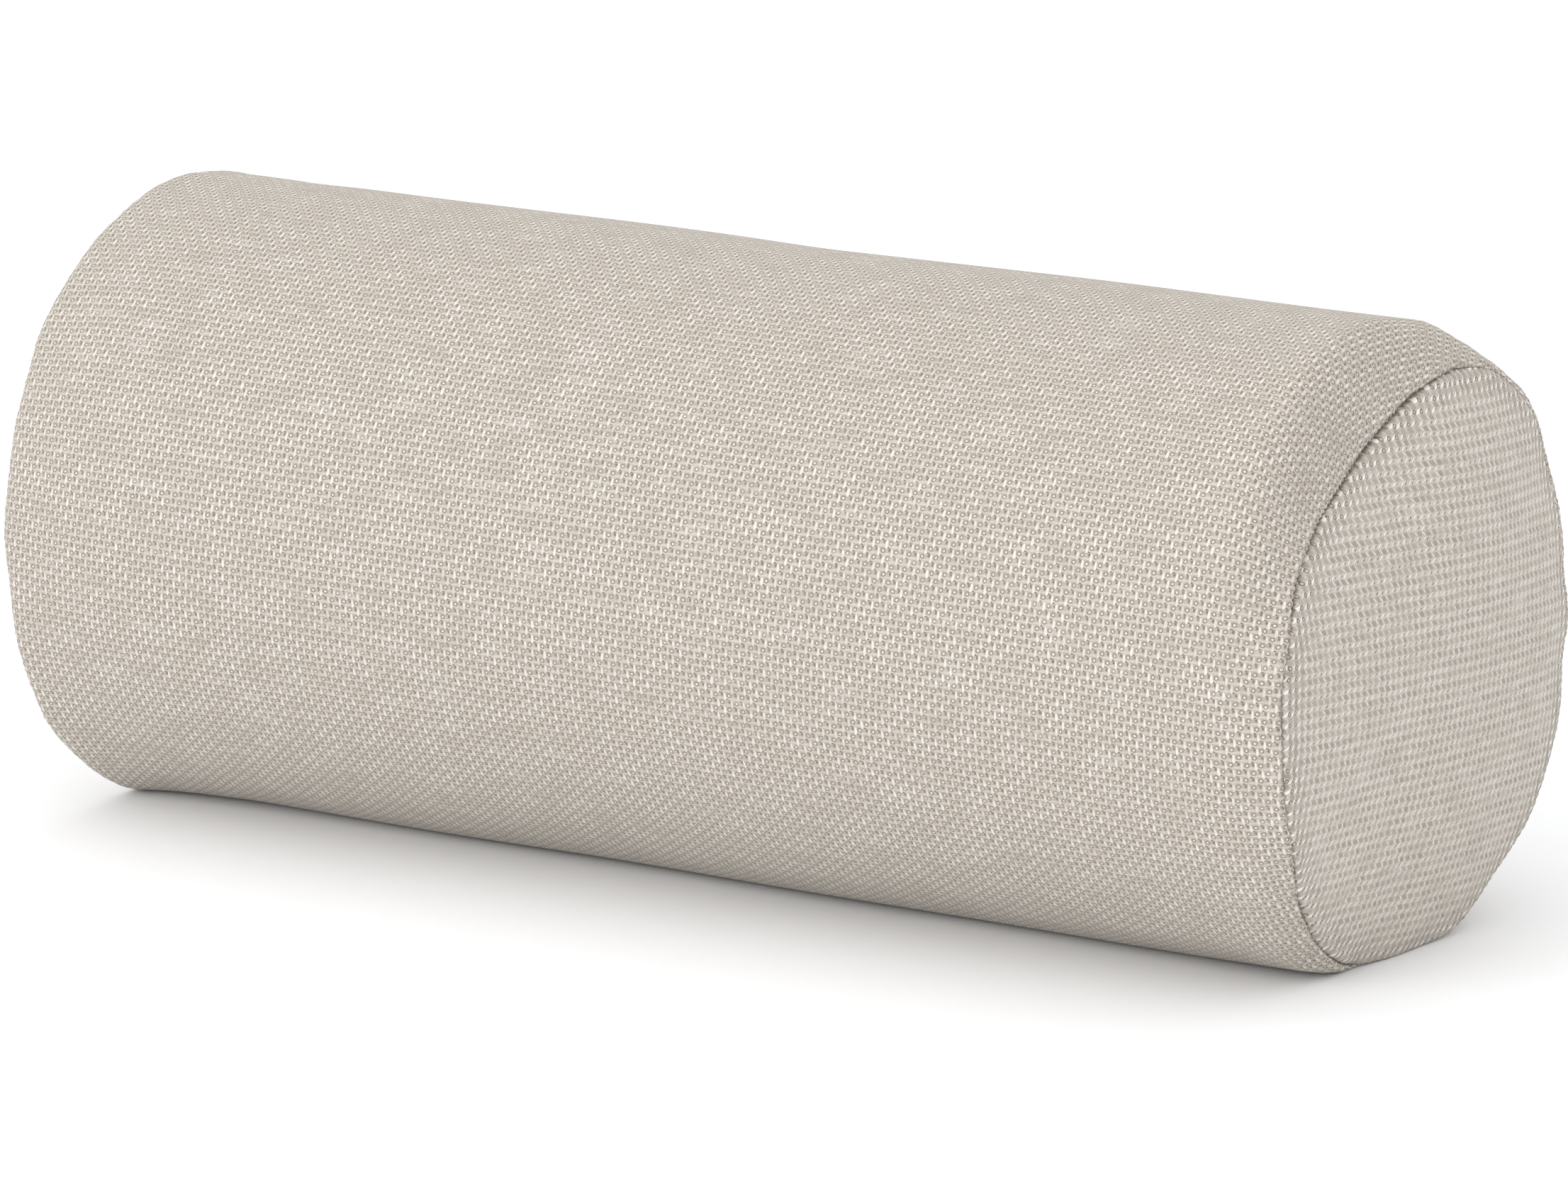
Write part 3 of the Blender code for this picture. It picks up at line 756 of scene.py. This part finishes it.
def zip_side_relief(offset, x):
    """The shallow channel that the zip's stitching pulls in, this far from the zip's middle."""
    inside = np.clip((WINDOW_HALF_LENGTH + 2 * MM - np.abs(x)) / (3 * MM), 0, 1)
    row = -0.35 * MM * np.exp(-(((offset - STITCH_ROW) / (0.8 * MM)) ** 2))
    return row * inside


def body_skin(material, move):
    """The tube's cloth, from its stitched ends to the edges that turn in along the zip."""
    along, share = body_rows()[:, None], column_shares()[None]
    rows, columns = len(along), share.shape[1]
    rough_x = body_shape(np.array([[ZIP_TURN]]), along)[..., 0]
    gap = (edge_gap(rough_x) + FOLD) / RADIUS
    turns = ZIP_TURN + gap + (TAU - 2 * gap) * share
    base = body_shape(turns, along) + between(move, (along + 2) / 4 * (TUBE_ROWS - 1), turns / TAU * AROUND)
    steps = np.linalg.norm(np.diff(base, axis=0), axis=-1)
    length = np.concatenate([np.zeros((1, columns)), np.cumsum(steps, 0)])
    u = length - length[rows // 2]
    out = normals(base, closed=False)
    to_seam = np.minimum(length, length[-1] - length)
    offset = np.minimum(share, 1 - share) * TAU * RADIUS + gap * RADIUS
    relief = seam_relief(turns, to_seam, along) + zip_side_relief(offset, base[..., 0])
    skin = base + out * relief[..., None]

    # The cloth goes on into the groove at each end
    first, last = skin[0] - out[0] * SEAM_DEPTH, skin[-1] - out[-1] * SEAM_DEPTH
    skin = np.concatenate([first[None], skin, last[None]])
    out = np.concatenate([out[:1], out, out[-1:]])
    u = np.concatenate([u[:1] - SEAM_DEPTH, u, u[-1:] + SEAM_DEPTH])
    turns = np.concatenate([turns[:1], turns, turns[-1:]])

    # The lengthways edges turn in round a small radius, and run back under the cloth
    fold = [(math.sin(a) * FOLD, -(1 - math.cos(a)) * FOLD) for a in np.linspace(0, math.pi, 7)[1:]]
    fold.append((-3 * MM, -2 * FOLD))
    across = np.gradient(skin, axis=1)
    across /= np.linalg.norm(across, axis=-1, keepdims=True)
    before = [skin[:, 0] - across[:, 0] * e + out[:, 0] * h for e, h in reversed(fold)]
    after = [skin[:, -1] + across[:, -1] * e + out[:, -1] * h for e, h in fold]
    skin = above_floor(np.concatenate([np.stack(before, 1), skin, np.stack(after, 1)], 1))
    runs = np.arange(1, len(fold) + 1) * 0.45 * MM
    v = -turns * RADIUS
    v = np.concatenate([v[:, :1] + runs[::-1], v, v[:, -1:] - runs], 1)
    u = np.concatenate([np.repeat(u[:, :1], len(fold), 1), u, np.repeat(u[:, -1:], len(fold), 1)], 1)
    # The seam counts as further off where its groove is shut, so its painted shade is weaker there
    to_seam = to_seam + (1 - seam_depth(turns[1:-1])) * MM
    to_seam = np.pad(to_seam, ((1, 1), (len(fold), len(fold))), "edge")
    weave = np.stack([u, v, to_seam], -1).reshape(-1, 3) / MM
    return object_of("cover_body", skin.reshape(-1, 3), grid_faces(*skin.shape[:2]), material, weave)


def end_skin(side, name, material, move):
    """A domed end, on rings of fewer points towards its middle."""
    rings = [(1 - distance / SEAM_RADIUS, COLUMNS) for distance in SEAM_DISTANCES[:14]]
    for fewer, shares in ((2, (81, 77, 72, 66, 60)), (4, (54, 48, 42, 36)), (8, (30, 24, 18)), (16, (12, 6))):
        rings += [(share / 100, COLUMNS // fewer) for share in shares]
    turns = np.arange(COLUMNS) * TAU / COLUMNS
    shares = np.array([share for share, _ in rings])[:, None]
    base = end_shape(turns[None], shares, side)
    base = base + between(move, (1 - shares) / (1 - END_HOLE) * (END_ROWS - 1), turns[None] / TAU * AROUND)
    out = normals(base, closed=True)
    out *= np.sign(out[..., :1]) * side
    distance = (1 - shares) * SEAM_RADIUS
    full = above_floor(base + out * seam_relief(turns[None], distance, side)[..., None])
    hidden = above_floor(full[0] - [side * SEAM_DEPTH, 0, 0])

    points, counts, faces = [hidden], [COLUMNS], []
    for row, (_, count) in zip(full, rings):
        points.append(row[:: COLUMNS // count])
        counts.append(count)
    starts = np.concatenate([[0], np.cumsum(counts)]).tolist()
    for a, b, n, m in zip(starts, starts[1:], counts, counts[1:]):
        for j in range(m):
            k = (j + 1) % m
            if n == m:
                faces.append((a + j, a + k, b + k, b + j))
            else:
                faces.append((a + 2 * j, a + 2 * j + 1, b + j))
                faces.append((a + 2 * j + 1, b + k, b + j))
                faces.append((a + 2 * j + 1, a + (2 * j + 2) % n, b + k))
    centre = end_shape(np.array([0.0]), np.array([0.0]), side) + move[-1, :1]
    faces += [(starts[-2] + j, starts[-2] + (j + 1) % counts[-1], starts[-1]) for j in range(counts[-1])]
    points = np.concatenate([*points, centre])
    if side > 0:
        faces = [face[::-1] for face in faces]
    # The seam counts as further off where its groove is shut: weaker painted shade, and less of the weave's
    # plump floats
    shut = (1 - seam_depth(turns)) * MM
    to_seam = [shut] + [shut[:: COLUMNS // count] + (1 - share) * SEAM_RADIUS for share, count in rings]
    to_seam = np.concatenate([*to_seam, [SEAM_RADIUS]])
    weave = np.stack([points[:, 1] * side, points[:, 2] - AXIS_Z, to_seam], -1) / MM
    return object_of(name, points, faces, material, weave)


def cover():
    end_material, moves = end_weave(), settled_cloth()
    body = body_skin(body_weave(), moves[0])
    stand_in(body, "bolster", "cover_fabric", "cover_body_panel")
    for side, word in SIDES:
        end = end_skin(side, "cover_end_" + word, end_material, moves[side])
        stand_in(end, "bolster", "cover_fabric", "cover_end_panel_" + word)


def cover_threads():
    """The stitching round both ends, along the closed ends of the zip's seam, and beside the zip."""
    thread = thread_finish("cover_thread", (0.60, 0.545, 0.47), (0.36, 0.31, 0.25))
    for side, word in SIDES:

        def round_end(place):
            turn = place * TAU
            x, radius = seam_at(turn, side)
            middle = pressed(on_roll(side * x, radius - 1.7 * MM, turn))
            return middle, outwards(turn)

        piece = stitches("end_seam_stitches_" + word, round_end, STITCHES // 2, 0.24 * MM, thread)
        stand_in(piece, "bolster", "cover_thread", "end_seam_thread_" + word)

        def closed_part(place):
            share = 2 * side * (0.46 + 0.53 * place)
            turn = np.full_like(place, ZIP_TURN)
            middle = body_shape(turn, share)
            out = outwards(turn)
            return middle - out * 1.1 * MM, out

        piece = stitches("closing_seam_stitches_" + word, closed_part, 18, 0.22 * MM, thread)
        stand_in(piece, "bolster", "cover_thread", "closing_seam_thread_" + word)
    for way, word in ((1, "upper"), (-1, "lower")):

        def beside_zip(place):
            turn = np.full_like(place, ZIP_TURN + way * STITCH_ROW / RADIUS)
            x = (2 * place - 1) * WINDOW_HALF_LENGTH
            return on_roll(x, RADIUS - 0.05 * MM, turn), outwards(turn)

        piece = stitches("zip_stitches_" + word, beside_zip, 104, 0.3 * MM, thread)
        stand_in(piece, "bolster", "cover_thread", "zip_stitch_" + word)


# The zip


def coil_line(way, half_turns):
    """A coil's wire: it runs from the teeth's heads at the zip's middle to its back, round and round."""
    low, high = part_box("zip_coil_upper")
    count = round((high.x - low.x) / COIL_PITCH)
    round_turn = np.linspace(0, count * TAU, count * 12 + 1) + half_turns * math.pi
    x = low.x + (round_turn - half_turns * math.pi) / TAU * COIL_PITCH
    across = COIL_ACROSS + COIL_REACH * np.cos(round_turn)
    lift = RADIUS - 0.1 * MM + COIL_RISE * np.sin(round_turn)
    return on_roll(x, lift, ZIP_TURN + way * across / RADIUS)[None]


def refined(name, node, material, edge):
    """A copy of a CAD node with its flat faces whole again and its outer edges rounded."""
    mesh = bpy.data.objects[node].data.copy()
    mesh.name = name
    mesh.materials.clear()
    mesh.materials.append(material)
    bm = bmesh.new()
    bm.from_mesh(mesh)
    bmesh.ops.remove_doubles(bm, verts=bm.verts, dist=0.01 * MM)
    bmesh.ops.dissolve_limit(bm, angle_limit=math.radians(1), verts=bm.verts, edges=bm.edges)
    sharp = [e for e in bm.edges if e.is_manifold and e.is_convex and e.calc_face_angle() > math.radians(35)]
    bmesh.ops.bevel(bm, geom=sharp, offset=edge, segments=3, profile=0.5, affect="EDGES", clamp_overlap=True)
    bmesh.ops.triangulate(bm, faces=[face for face in bm.faces if len(face.verts) > 4])
    bm.to_mesh(mesh)
    bm.free()
    mesh.shade_smooth()
    piece = bpy.data.objects.new(name, mesh)
    bpy.context.scene.collection.objects.link(piece)
    return piece


def zip_parts():
    """The tapes, the wound coils, and the metal stops, slider and tab."""
    tape_material = tape_finish()
    wire = plastic_finish()
    metal = metal_finish()
    half_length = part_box("zip_tape_upper")[1].x
    for way, word in ((1, "upper"), (-1, "lower")):
        x = np.linspace(-half_length, half_length, 340)[:, None]
        across = np.linspace(*TAPE_EDGES, 27)[None] * MM
        by_coil, by_edge = (across / MM - place for place in TAPE_THICKER)
        edge = np.exp(-(by_coil**2)) + np.exp(-(by_edge**2) * 4)
        ripple = 0.04 * MM * np.sin(x / (4 * MM)) * (across / (15 * MM))
        turns = ZIP_TURN + way * across / RADIUS
        top = on_roll(x, TAPE_TOP - 0.06 * MM * (1 - edge) - ripple, turns)
        weave = np.stack(np.broadcast_arrays(x, way * across), -1) / MM
        tape = thick_sheet("tape_" + word, top, on_roll(x, TAPE_BOTTOM, turns), weave, tape_material)
        stand_in(tape, "bolster", "zip_tape", "zip_tape_" + word)
        coil = tubes("coil_" + word, coil_line(way, way > 0), 0.3 * MM, (1.0, 0.0, 0.0), wire)
        stand_in(coil, "bolster", "zip_coil", "zip_coil_" + word)
    for node in ("zip_top_stop_upper", "zip_top_stop_lower", "zip_bottom_stop"):
        stop = refined(node + "_clip", node, metal, 0.25 * MM)
        stand_in(stop, "bolster", "zip_metal", node)
    slider = refined("zip_slider_cast", "zip_slider", metal, 0.3 * MM)
    stand_in(slider, "slider", "zip_metal", "zip_slider")
    tab = refined("zip_pull_stamped", "zip_pull_tab", metal, 0.3 * MM)
    stand_in(tab, "pull", "zip_metal", "zip_pull_tab")


def care_label():
    """A blank ribbon beside the zip, which hangs a little way in from the cover."""
    low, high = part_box("care_label")
    x = np.linspace(low.x, high.x, 60)[:, None]
    turns = np.radians(np.linspace(*LABEL_TURNS, 50))[None]
    down = turns - turns[0, 0]
    hang = smooth(0, 0.12, down) * LABEL_HANG
    hang = hang + 0.1 * MM * np.sin((x - low.x) / (5 * MM)) * np.sin(down * 20)
    outer = on_roll(x, RADIUS - LABEL_DEPTH - hang, turns)
    inner = on_roll(x, RADIUS - LABEL_DEPTH - LABEL_THICKNESS - hang, turns)
    weave = np.stack(np.broadcast_arrays(x, turns * RADIUS), -1) / MM
    label = thick_sheet("care_label_ribbon", outer, inner, weave, ribbon_finish())
    stand_in(label, "bolster", "label_ribbon", "care_label")


# The inner cushion: a calico case, and wadding round a foam core


def tube_grid(depth, lumps):
    """The tube of the cover nested this far in, with lumps of this height."""
    share = np.linspace(-2, 2, 121)[:, None]
    turns = np.linspace(0, TAU, 240, endpoint=False)[None]
    rough = np.sin(7 * turns + 11 * share) * np.sin(13 * turns - 17 * share)
    rough = rough + 0.6 * np.sin(19 * turns + 29 * share)
    keep = np.clip((2 - np.abs(share)) * 6, 0, 1)
    return inset(body_shape(turns, share), depth + lumps * (0.5 + 0.3 * rough * keep))


def end_grid(depth, lumps, side):
    """An end of the cover nested this far in, with lumps of this height."""
    share = np.linspace(1, 0, 31)[:, None]
    turns = np.linspace(0, TAU, 240, endpoint=False)[None]
    rough = np.sin(5 * turns + 9 * share) * np.sin(14 * share) + 0.6 * np.sin(11 * turns - 8 * share)
    return inset(end_shape(turns, share, side), depth + lumps * (0.5 + 0.3 * rough * share * (1 - share) * 4))


def flat_weave(grid):
    """Places on the cloth for a grid of the tube or of an end: along and round, or across and up."""
    spread = np.ptp(grid[..., 0]) > SEAM_X
    turn = np.arctan2(grid[..., 2] - AXIS_Z, grid[..., 1]) * RADIUS
    return (np.stack([grid[..., 0], turn], -1) if spread else grid[..., 1:]) / MM


def layer(name, depth, thickness, lumps, material, slot, node, side=None):
    """One layer of the inner cushion: its tube, or one of its ends."""
    if side is None:
        outer, inner = tube_grid(depth, lumps), tube_grid(depth + thickness, lumps)
    else:
        outer, inner = end_grid(depth, lumps, side), end_grid(depth + thickness, lumps, side)
    piece = thick_sheet(name, outer, inner, flat_weave(outer), material, closed=True)
    stand_in(piece, "bolster", slot, node)


def inner_cushion():
    calico = calico_finish()
    wadding = fluffy_finish()
    thread = thread_finish("liner_thread", (0.75, 0.72, 0.66), (0.5, 0.47, 0.42))
    liner_look = (0.6 * MM, calico, "liner_fabric")
    wadding_look = (1.2 * MM, wadding, "wadding")
    layer("liner_tube", LINER_DEPTH, 0.4 * MM, *liner_look, "liner_body")
    layer("wadding_sleeve", WADDING_DEPTH, 9 * MM, *wadding_look, "wadding_wrap")
    for side, word in SIDES:
        layer("liner_cap_" + word, LINER_DEPTH, 0.4 * MM, *liner_look, "liner_end_" + word, side)
        layer("wadding_pad_" + word, WADDING_DEPTH, 6 * MM, *wadding_look, "wadding_disc_" + word, side)

        def round_liner(place):
            turn = place * TAU
            x, radius = seam_at(turn, side)
            middle = inset(pressed(on_roll(side * x, radius, turn)), LINER_DEPTH + 0.2 * MM)
            return middle, outwards(turn)

        piece = stitches("liner_seam_stitches_" + word, round_liner, 200, 0.2 * MM, thread)
        stand_in(piece, "bolster", "liner_thread", "liner_seam_thread_" + word)

    def along_liner(place):
        turn = np.full_like(place, ZIP_TURN + math.pi)
        middle = inset(body_shape(turn, 3.8 * place - 1.9), LINER_DEPTH)
        return middle, outwards(turn)

    piece = stitches("liner_closing_stitches", along_liner, 150, 0.2 * MM, thread)
    stand_in(piece, "bolster", "liner_thread", "liner_closing_seam_thread")

    tube = tube_grid(FOAM_DEPTH, 0)
    right, left = (end_grid(FOAM_DEPTH, 0, side)[1:] for side in (1, -1))
    grid = np.concatenate([left[::-1], tube, right])
    faces = grid_faces(*grid.shape[:2], closed=True)
    foam = object_of("foam_block", grid.reshape(-1, 3), faces, foam_finish())
    stand_in(welded(foam), "bolster", "foam", "foam_core")


# Finishes of the other materials


def thread_finish(name, colour, ply_shade):
    """Plies that twist round the thread, with painted shade between them."""
    finish = Finish(name, sheen=0.1)
    along, turn, _ = finish.attribute("weave").parts()
    ply = (along * 1.3 + turn * 2).from_middle(1).rise(0.05, 0.4)
    fuzz = finish.place().noise(9000, 2.0)
    # Painted shade where the plies sink
    finish.colour((ply * -0.7 + fuzz * 0.3 + 0.7).mix(ply_shade, colour))
    finish.roughness(fuzz * 0.15 + 0.7)
    finish.relief(ply * -1 + fuzz * 0.2, 0.06 * MM)
    return finish.material


def tape_finish():
    """A herringbone tape, with painted shade in the grooves between its ribs."""
    finish = Finish("zip_tape_weave", sheen=0.1)
    flat = finish.attribute("weave")
    u, v, _ = flat.parts()
    zigzag = v.from_middle(3.2) * 3.2
    rib = (u + zigzag).from_middle(0.55).rise(0.1, 0.42)
    strand = v.from_middle(0.32).rise(0.2, 0.5)
    fuzz = flat.noise(2.0, 3.0)
    shade = rib * 0.5 + strand * 0.2 + fuzz * 0.25
    # Painted shade: darker where the relief sinks
    finish.colour(shade.mix((0.66, 0.61, 0.53), (0.40, 0.36, 0.30)))
    finish.roughness(fuzz * 0.1 + 0.82)
    finish.relief(shade * -1, 0.12 * MM)
    return finish.material


def plastic_finish():
    """The coils' polyester wire, a little scuffed."""
    finish = Finish("zip_coil_polyester", specular=0.5)
    scuff = finish.place().noise(2500, 3.0)
    finish.colour(scuff.rise(0.35, 0.75).mix((0.62, 0.57, 0.49), (0.52, 0.47, 0.40)))
    finish.roughness(scuff * 0.2 + 0.3)
    finish.relief(scuff, 0.01 * MM)
    return finish.material


def metal_finish():
    """Nickel plate, brushed along the zip and worn in patches."""
    finish = Finish("zip_nickel", metallic=1.0, specular=0.5)
    place = finish.place()
    brush = place.scaled((0.08, 1, 1)).noise(9000, 3.0)
    worn = place.noise(380, 3.0).rise(0.45, 0.7)
    finish.colour((worn * 0.6 + brush * 0.4).mix((0.62, 0.60, 0.56), (0.46, 0.44, 0.41)))
    finish.roughness(brush * 0.12 + worn * 0.12 + 0.2)
    finish.relief(brush, 0.006 * MM)
    return finish.material


def ribbon_finish():
    """A satin ribbon with fine crosswise ribs and a firmer edge, with painted shade where the ribs sink."""
    finish = Finish("label_satin", sheen=0.2, specular=0.4)
    flat = finish.attribute("weave")
    u, v, _ = flat.parts()
    rib = v.from_middle(0.5).rise(0.1, 0.45)
    strand = u.from_middle(0.22).rise(0.15, 0.5)
    shade = rib * 0.5 + strand * 0.2 + flat.noise(1.5, 2.0) * 0.2
    # Painted shade: darker where the relief sinks
    finish.colour(shade.mix((0.86, 0.85, 0.82), (0.66, 0.65, 0.62)))
    finish.roughness(shade * 0.2 + 0.4)
    finish.relief(shade * -1, 0.05 * MM)
    return finish.material


def calico_finish():
    """Plain weave: each yarn goes over one and under the next, with a few seed flecks. Where a yarn goes
    under, its colour is painted darker as shade.
    """
    finish = Finish("liner_calico", sheen=0.1)
    flat = finish.attribute("weave")
    u, v, _ = flat.parts()
    over = ((u * 5).sine() * (v * 5).sine()).rise(-0.6, 0.6)
    slub = flat.scaled((0.15, 1.5, 1)).noise(1.0, 2.0)
    fleck = flat.cells(0.12).fall(0.02, 0.06)
    # Partly the yarns' own slubs, partly painted shade where a yarn goes under
    tone = (over * 0.35 + slub * 0.65).mix((0.60, 0.56, 0.48), (0.80, 0.77, 0.70))
    finish.colour((fleck * 0.6).mix(tone, (0.30, 0.22, 0.14)))
    finish.roughness(slub * 0.1 + 0.82)
    finish.relief(over + slub * 0.5, 0.15 * MM)
    return finish.material


def fluffy_finish():
    """Wadding: crossing fibres over soft clouds, painted greyer as shade where they sink."""
    finish = Finish("wadding_fibre", sheen=0.4)
    place = finish.place()
    fibres = place.scaled((0.2, 1, 1)).noise(2600, 4.0) * place.scaled((1, 0.2, 1)).noise(2600, 4.0) * 2
    clouds = place.noise(60, 3.0)
    # Painted shade: greyer where the relief sinks
    finish.colour((fibres * 0.6 + clouds * 0.4).mix((0.72, 0.72, 0.71), (0.94, 0.94, 0.93)))
    finish.roughness(fibres * 0.1 + 0.88)
    finish.relief(fibres + clouds, 0.5 * MM)
    return finish.material


def foam_finish():
    """Open-cell foam: small pores, and some larger ones, painted darker inside as shade."""
    finish = Finish("foam_cells")
    place = finish.place()
    fine, coarse = place.cells(1400).fall(0.1, 0.6), place.cells(300).fall(0.05, 0.25)
    pores = fine * 0.6 + coarse * 0.4
    # Painted shade inside the pores
    finish.colour(pores.mix((0.86, 0.80, 0.62), (0.62, 0.54, 0.36)))
    finish.roughness(pores * 0.1 + 0.85)
    finish.relief(pores * -1, 0.4 * MM)
    return finish.material


# The picture


AZIMUTH, ELEVATION, DISTANCE = math.radians(33), math.radians(13), 3.0
FRAME_WIDTH = 438 * MM  # at the roll's middle
AIM_LEFT, AIM_DOWN = 0.8 * MM, 7.5 * MM  # from the roll's middle
SKY_LEVEL, SKY_RISE = 0.69, 0.68  # the world's strength at the horizon, and how much more it is overhead
LIGHT_TARGET, LIGHT_SIZE = (0, 0, 0.05), 1.4
FLOOR_REACH, FLOOR_GAP = 12, 0.2 * MM  # metres each way, and below the roll
FLOOR_COLOUR = (0.945, 0.953, 0.965, 1)


def camera():
    back = Vector((math.sin(AZIMUTH), -math.cos(AZIMUTH), math.tan(ELEVATION))).normalized()
    turn = (-back).to_track_quat("-Z", "Y")
    right, up = turn @ Vector((1, 0, 0)), turn @ Vector((0, 1, 0))
    aim = Vector((0, 0, AXIS_Z)) - right * AIM_LEFT - up * AIM_DOWN
    data = bpy.data.cameras.new("camera")
    data.sensor_width = 36
    data.lens = data.sensor_width * DISTANCE / FRAME_WIDTH
    data.clip_start, data.clip_end = 0.1, 50
    made = bpy.data.objects.new("camera", data)
    made.location = aim + back * DISTANCE
    made.rotation_mode = "QUATERNION"
    made.rotation_quaternion = turn
    bpy.context.scene.collection.objects.link(made)
    bpy.context.scene.camera = made


def soft_light(name, place, power):
    data = bpy.data.lights.new(name, "AREA")
    data.shape = "DISK"
    data.size = LIGHT_SIZE
    data.energy = power
    lamp = bpy.data.objects.new(name, data)
    lamp.location = place
    lamp.rotation_mode = "QUATERNION"
    lamp.rotation_quaternion = (Vector(LIGHT_TARGET) - Vector(place)).to_track_quat("-Z", "Y")
    bpy.context.scene.collection.objects.link(lamp)


def floor_finish():
    """Plain matt paper, nearly white."""
    finish = Finish("studio_floor")
    finish.shader.inputs["Base Color"].default_value = FLOOR_COLOUR
    finish.shader.inputs["Roughness"].default_value = 0.9
    return finish.material


def studio():
    scene = bpy.context.scene
    scene.view_settings.view_transform = "Standard"
    world = bpy.data.worlds.new("studio")
    world.use_nodes = True
    background = world.node_tree.nodes["Background"]
    background.inputs["Color"].default_value = (1, 1, 1, 1)
    direction = world.node_tree.nodes.new("ShaderNodeTexCoord").outputs["Generated"]
    height = Socket(world.node_tree, direction).parts()[2]
    world.node_tree.links.new((height * SKY_RISE + SKY_LEVEL).socket, background.inputs["Strength"])
    scene.world = world
    soft_light("key", (-0.5, -2.35, 1.1), 22)
    soft_light("fill", (1.5, -2.0, 0.6), 5)

    corners = ((-1, -1), (1, -1), (1, 1), (-1, 1))
    points = [(x * FLOOR_REACH, y * FLOOR_REACH, CAD_LOW.z - FLOOR_GAP) for x, y in corners]
    object_of("floor", points, [(0, 1, 2, 3)], floor_finish())


camera()
studio()
cover()
cover_threads()
zip_parts()
care_label()
inner_cushion()
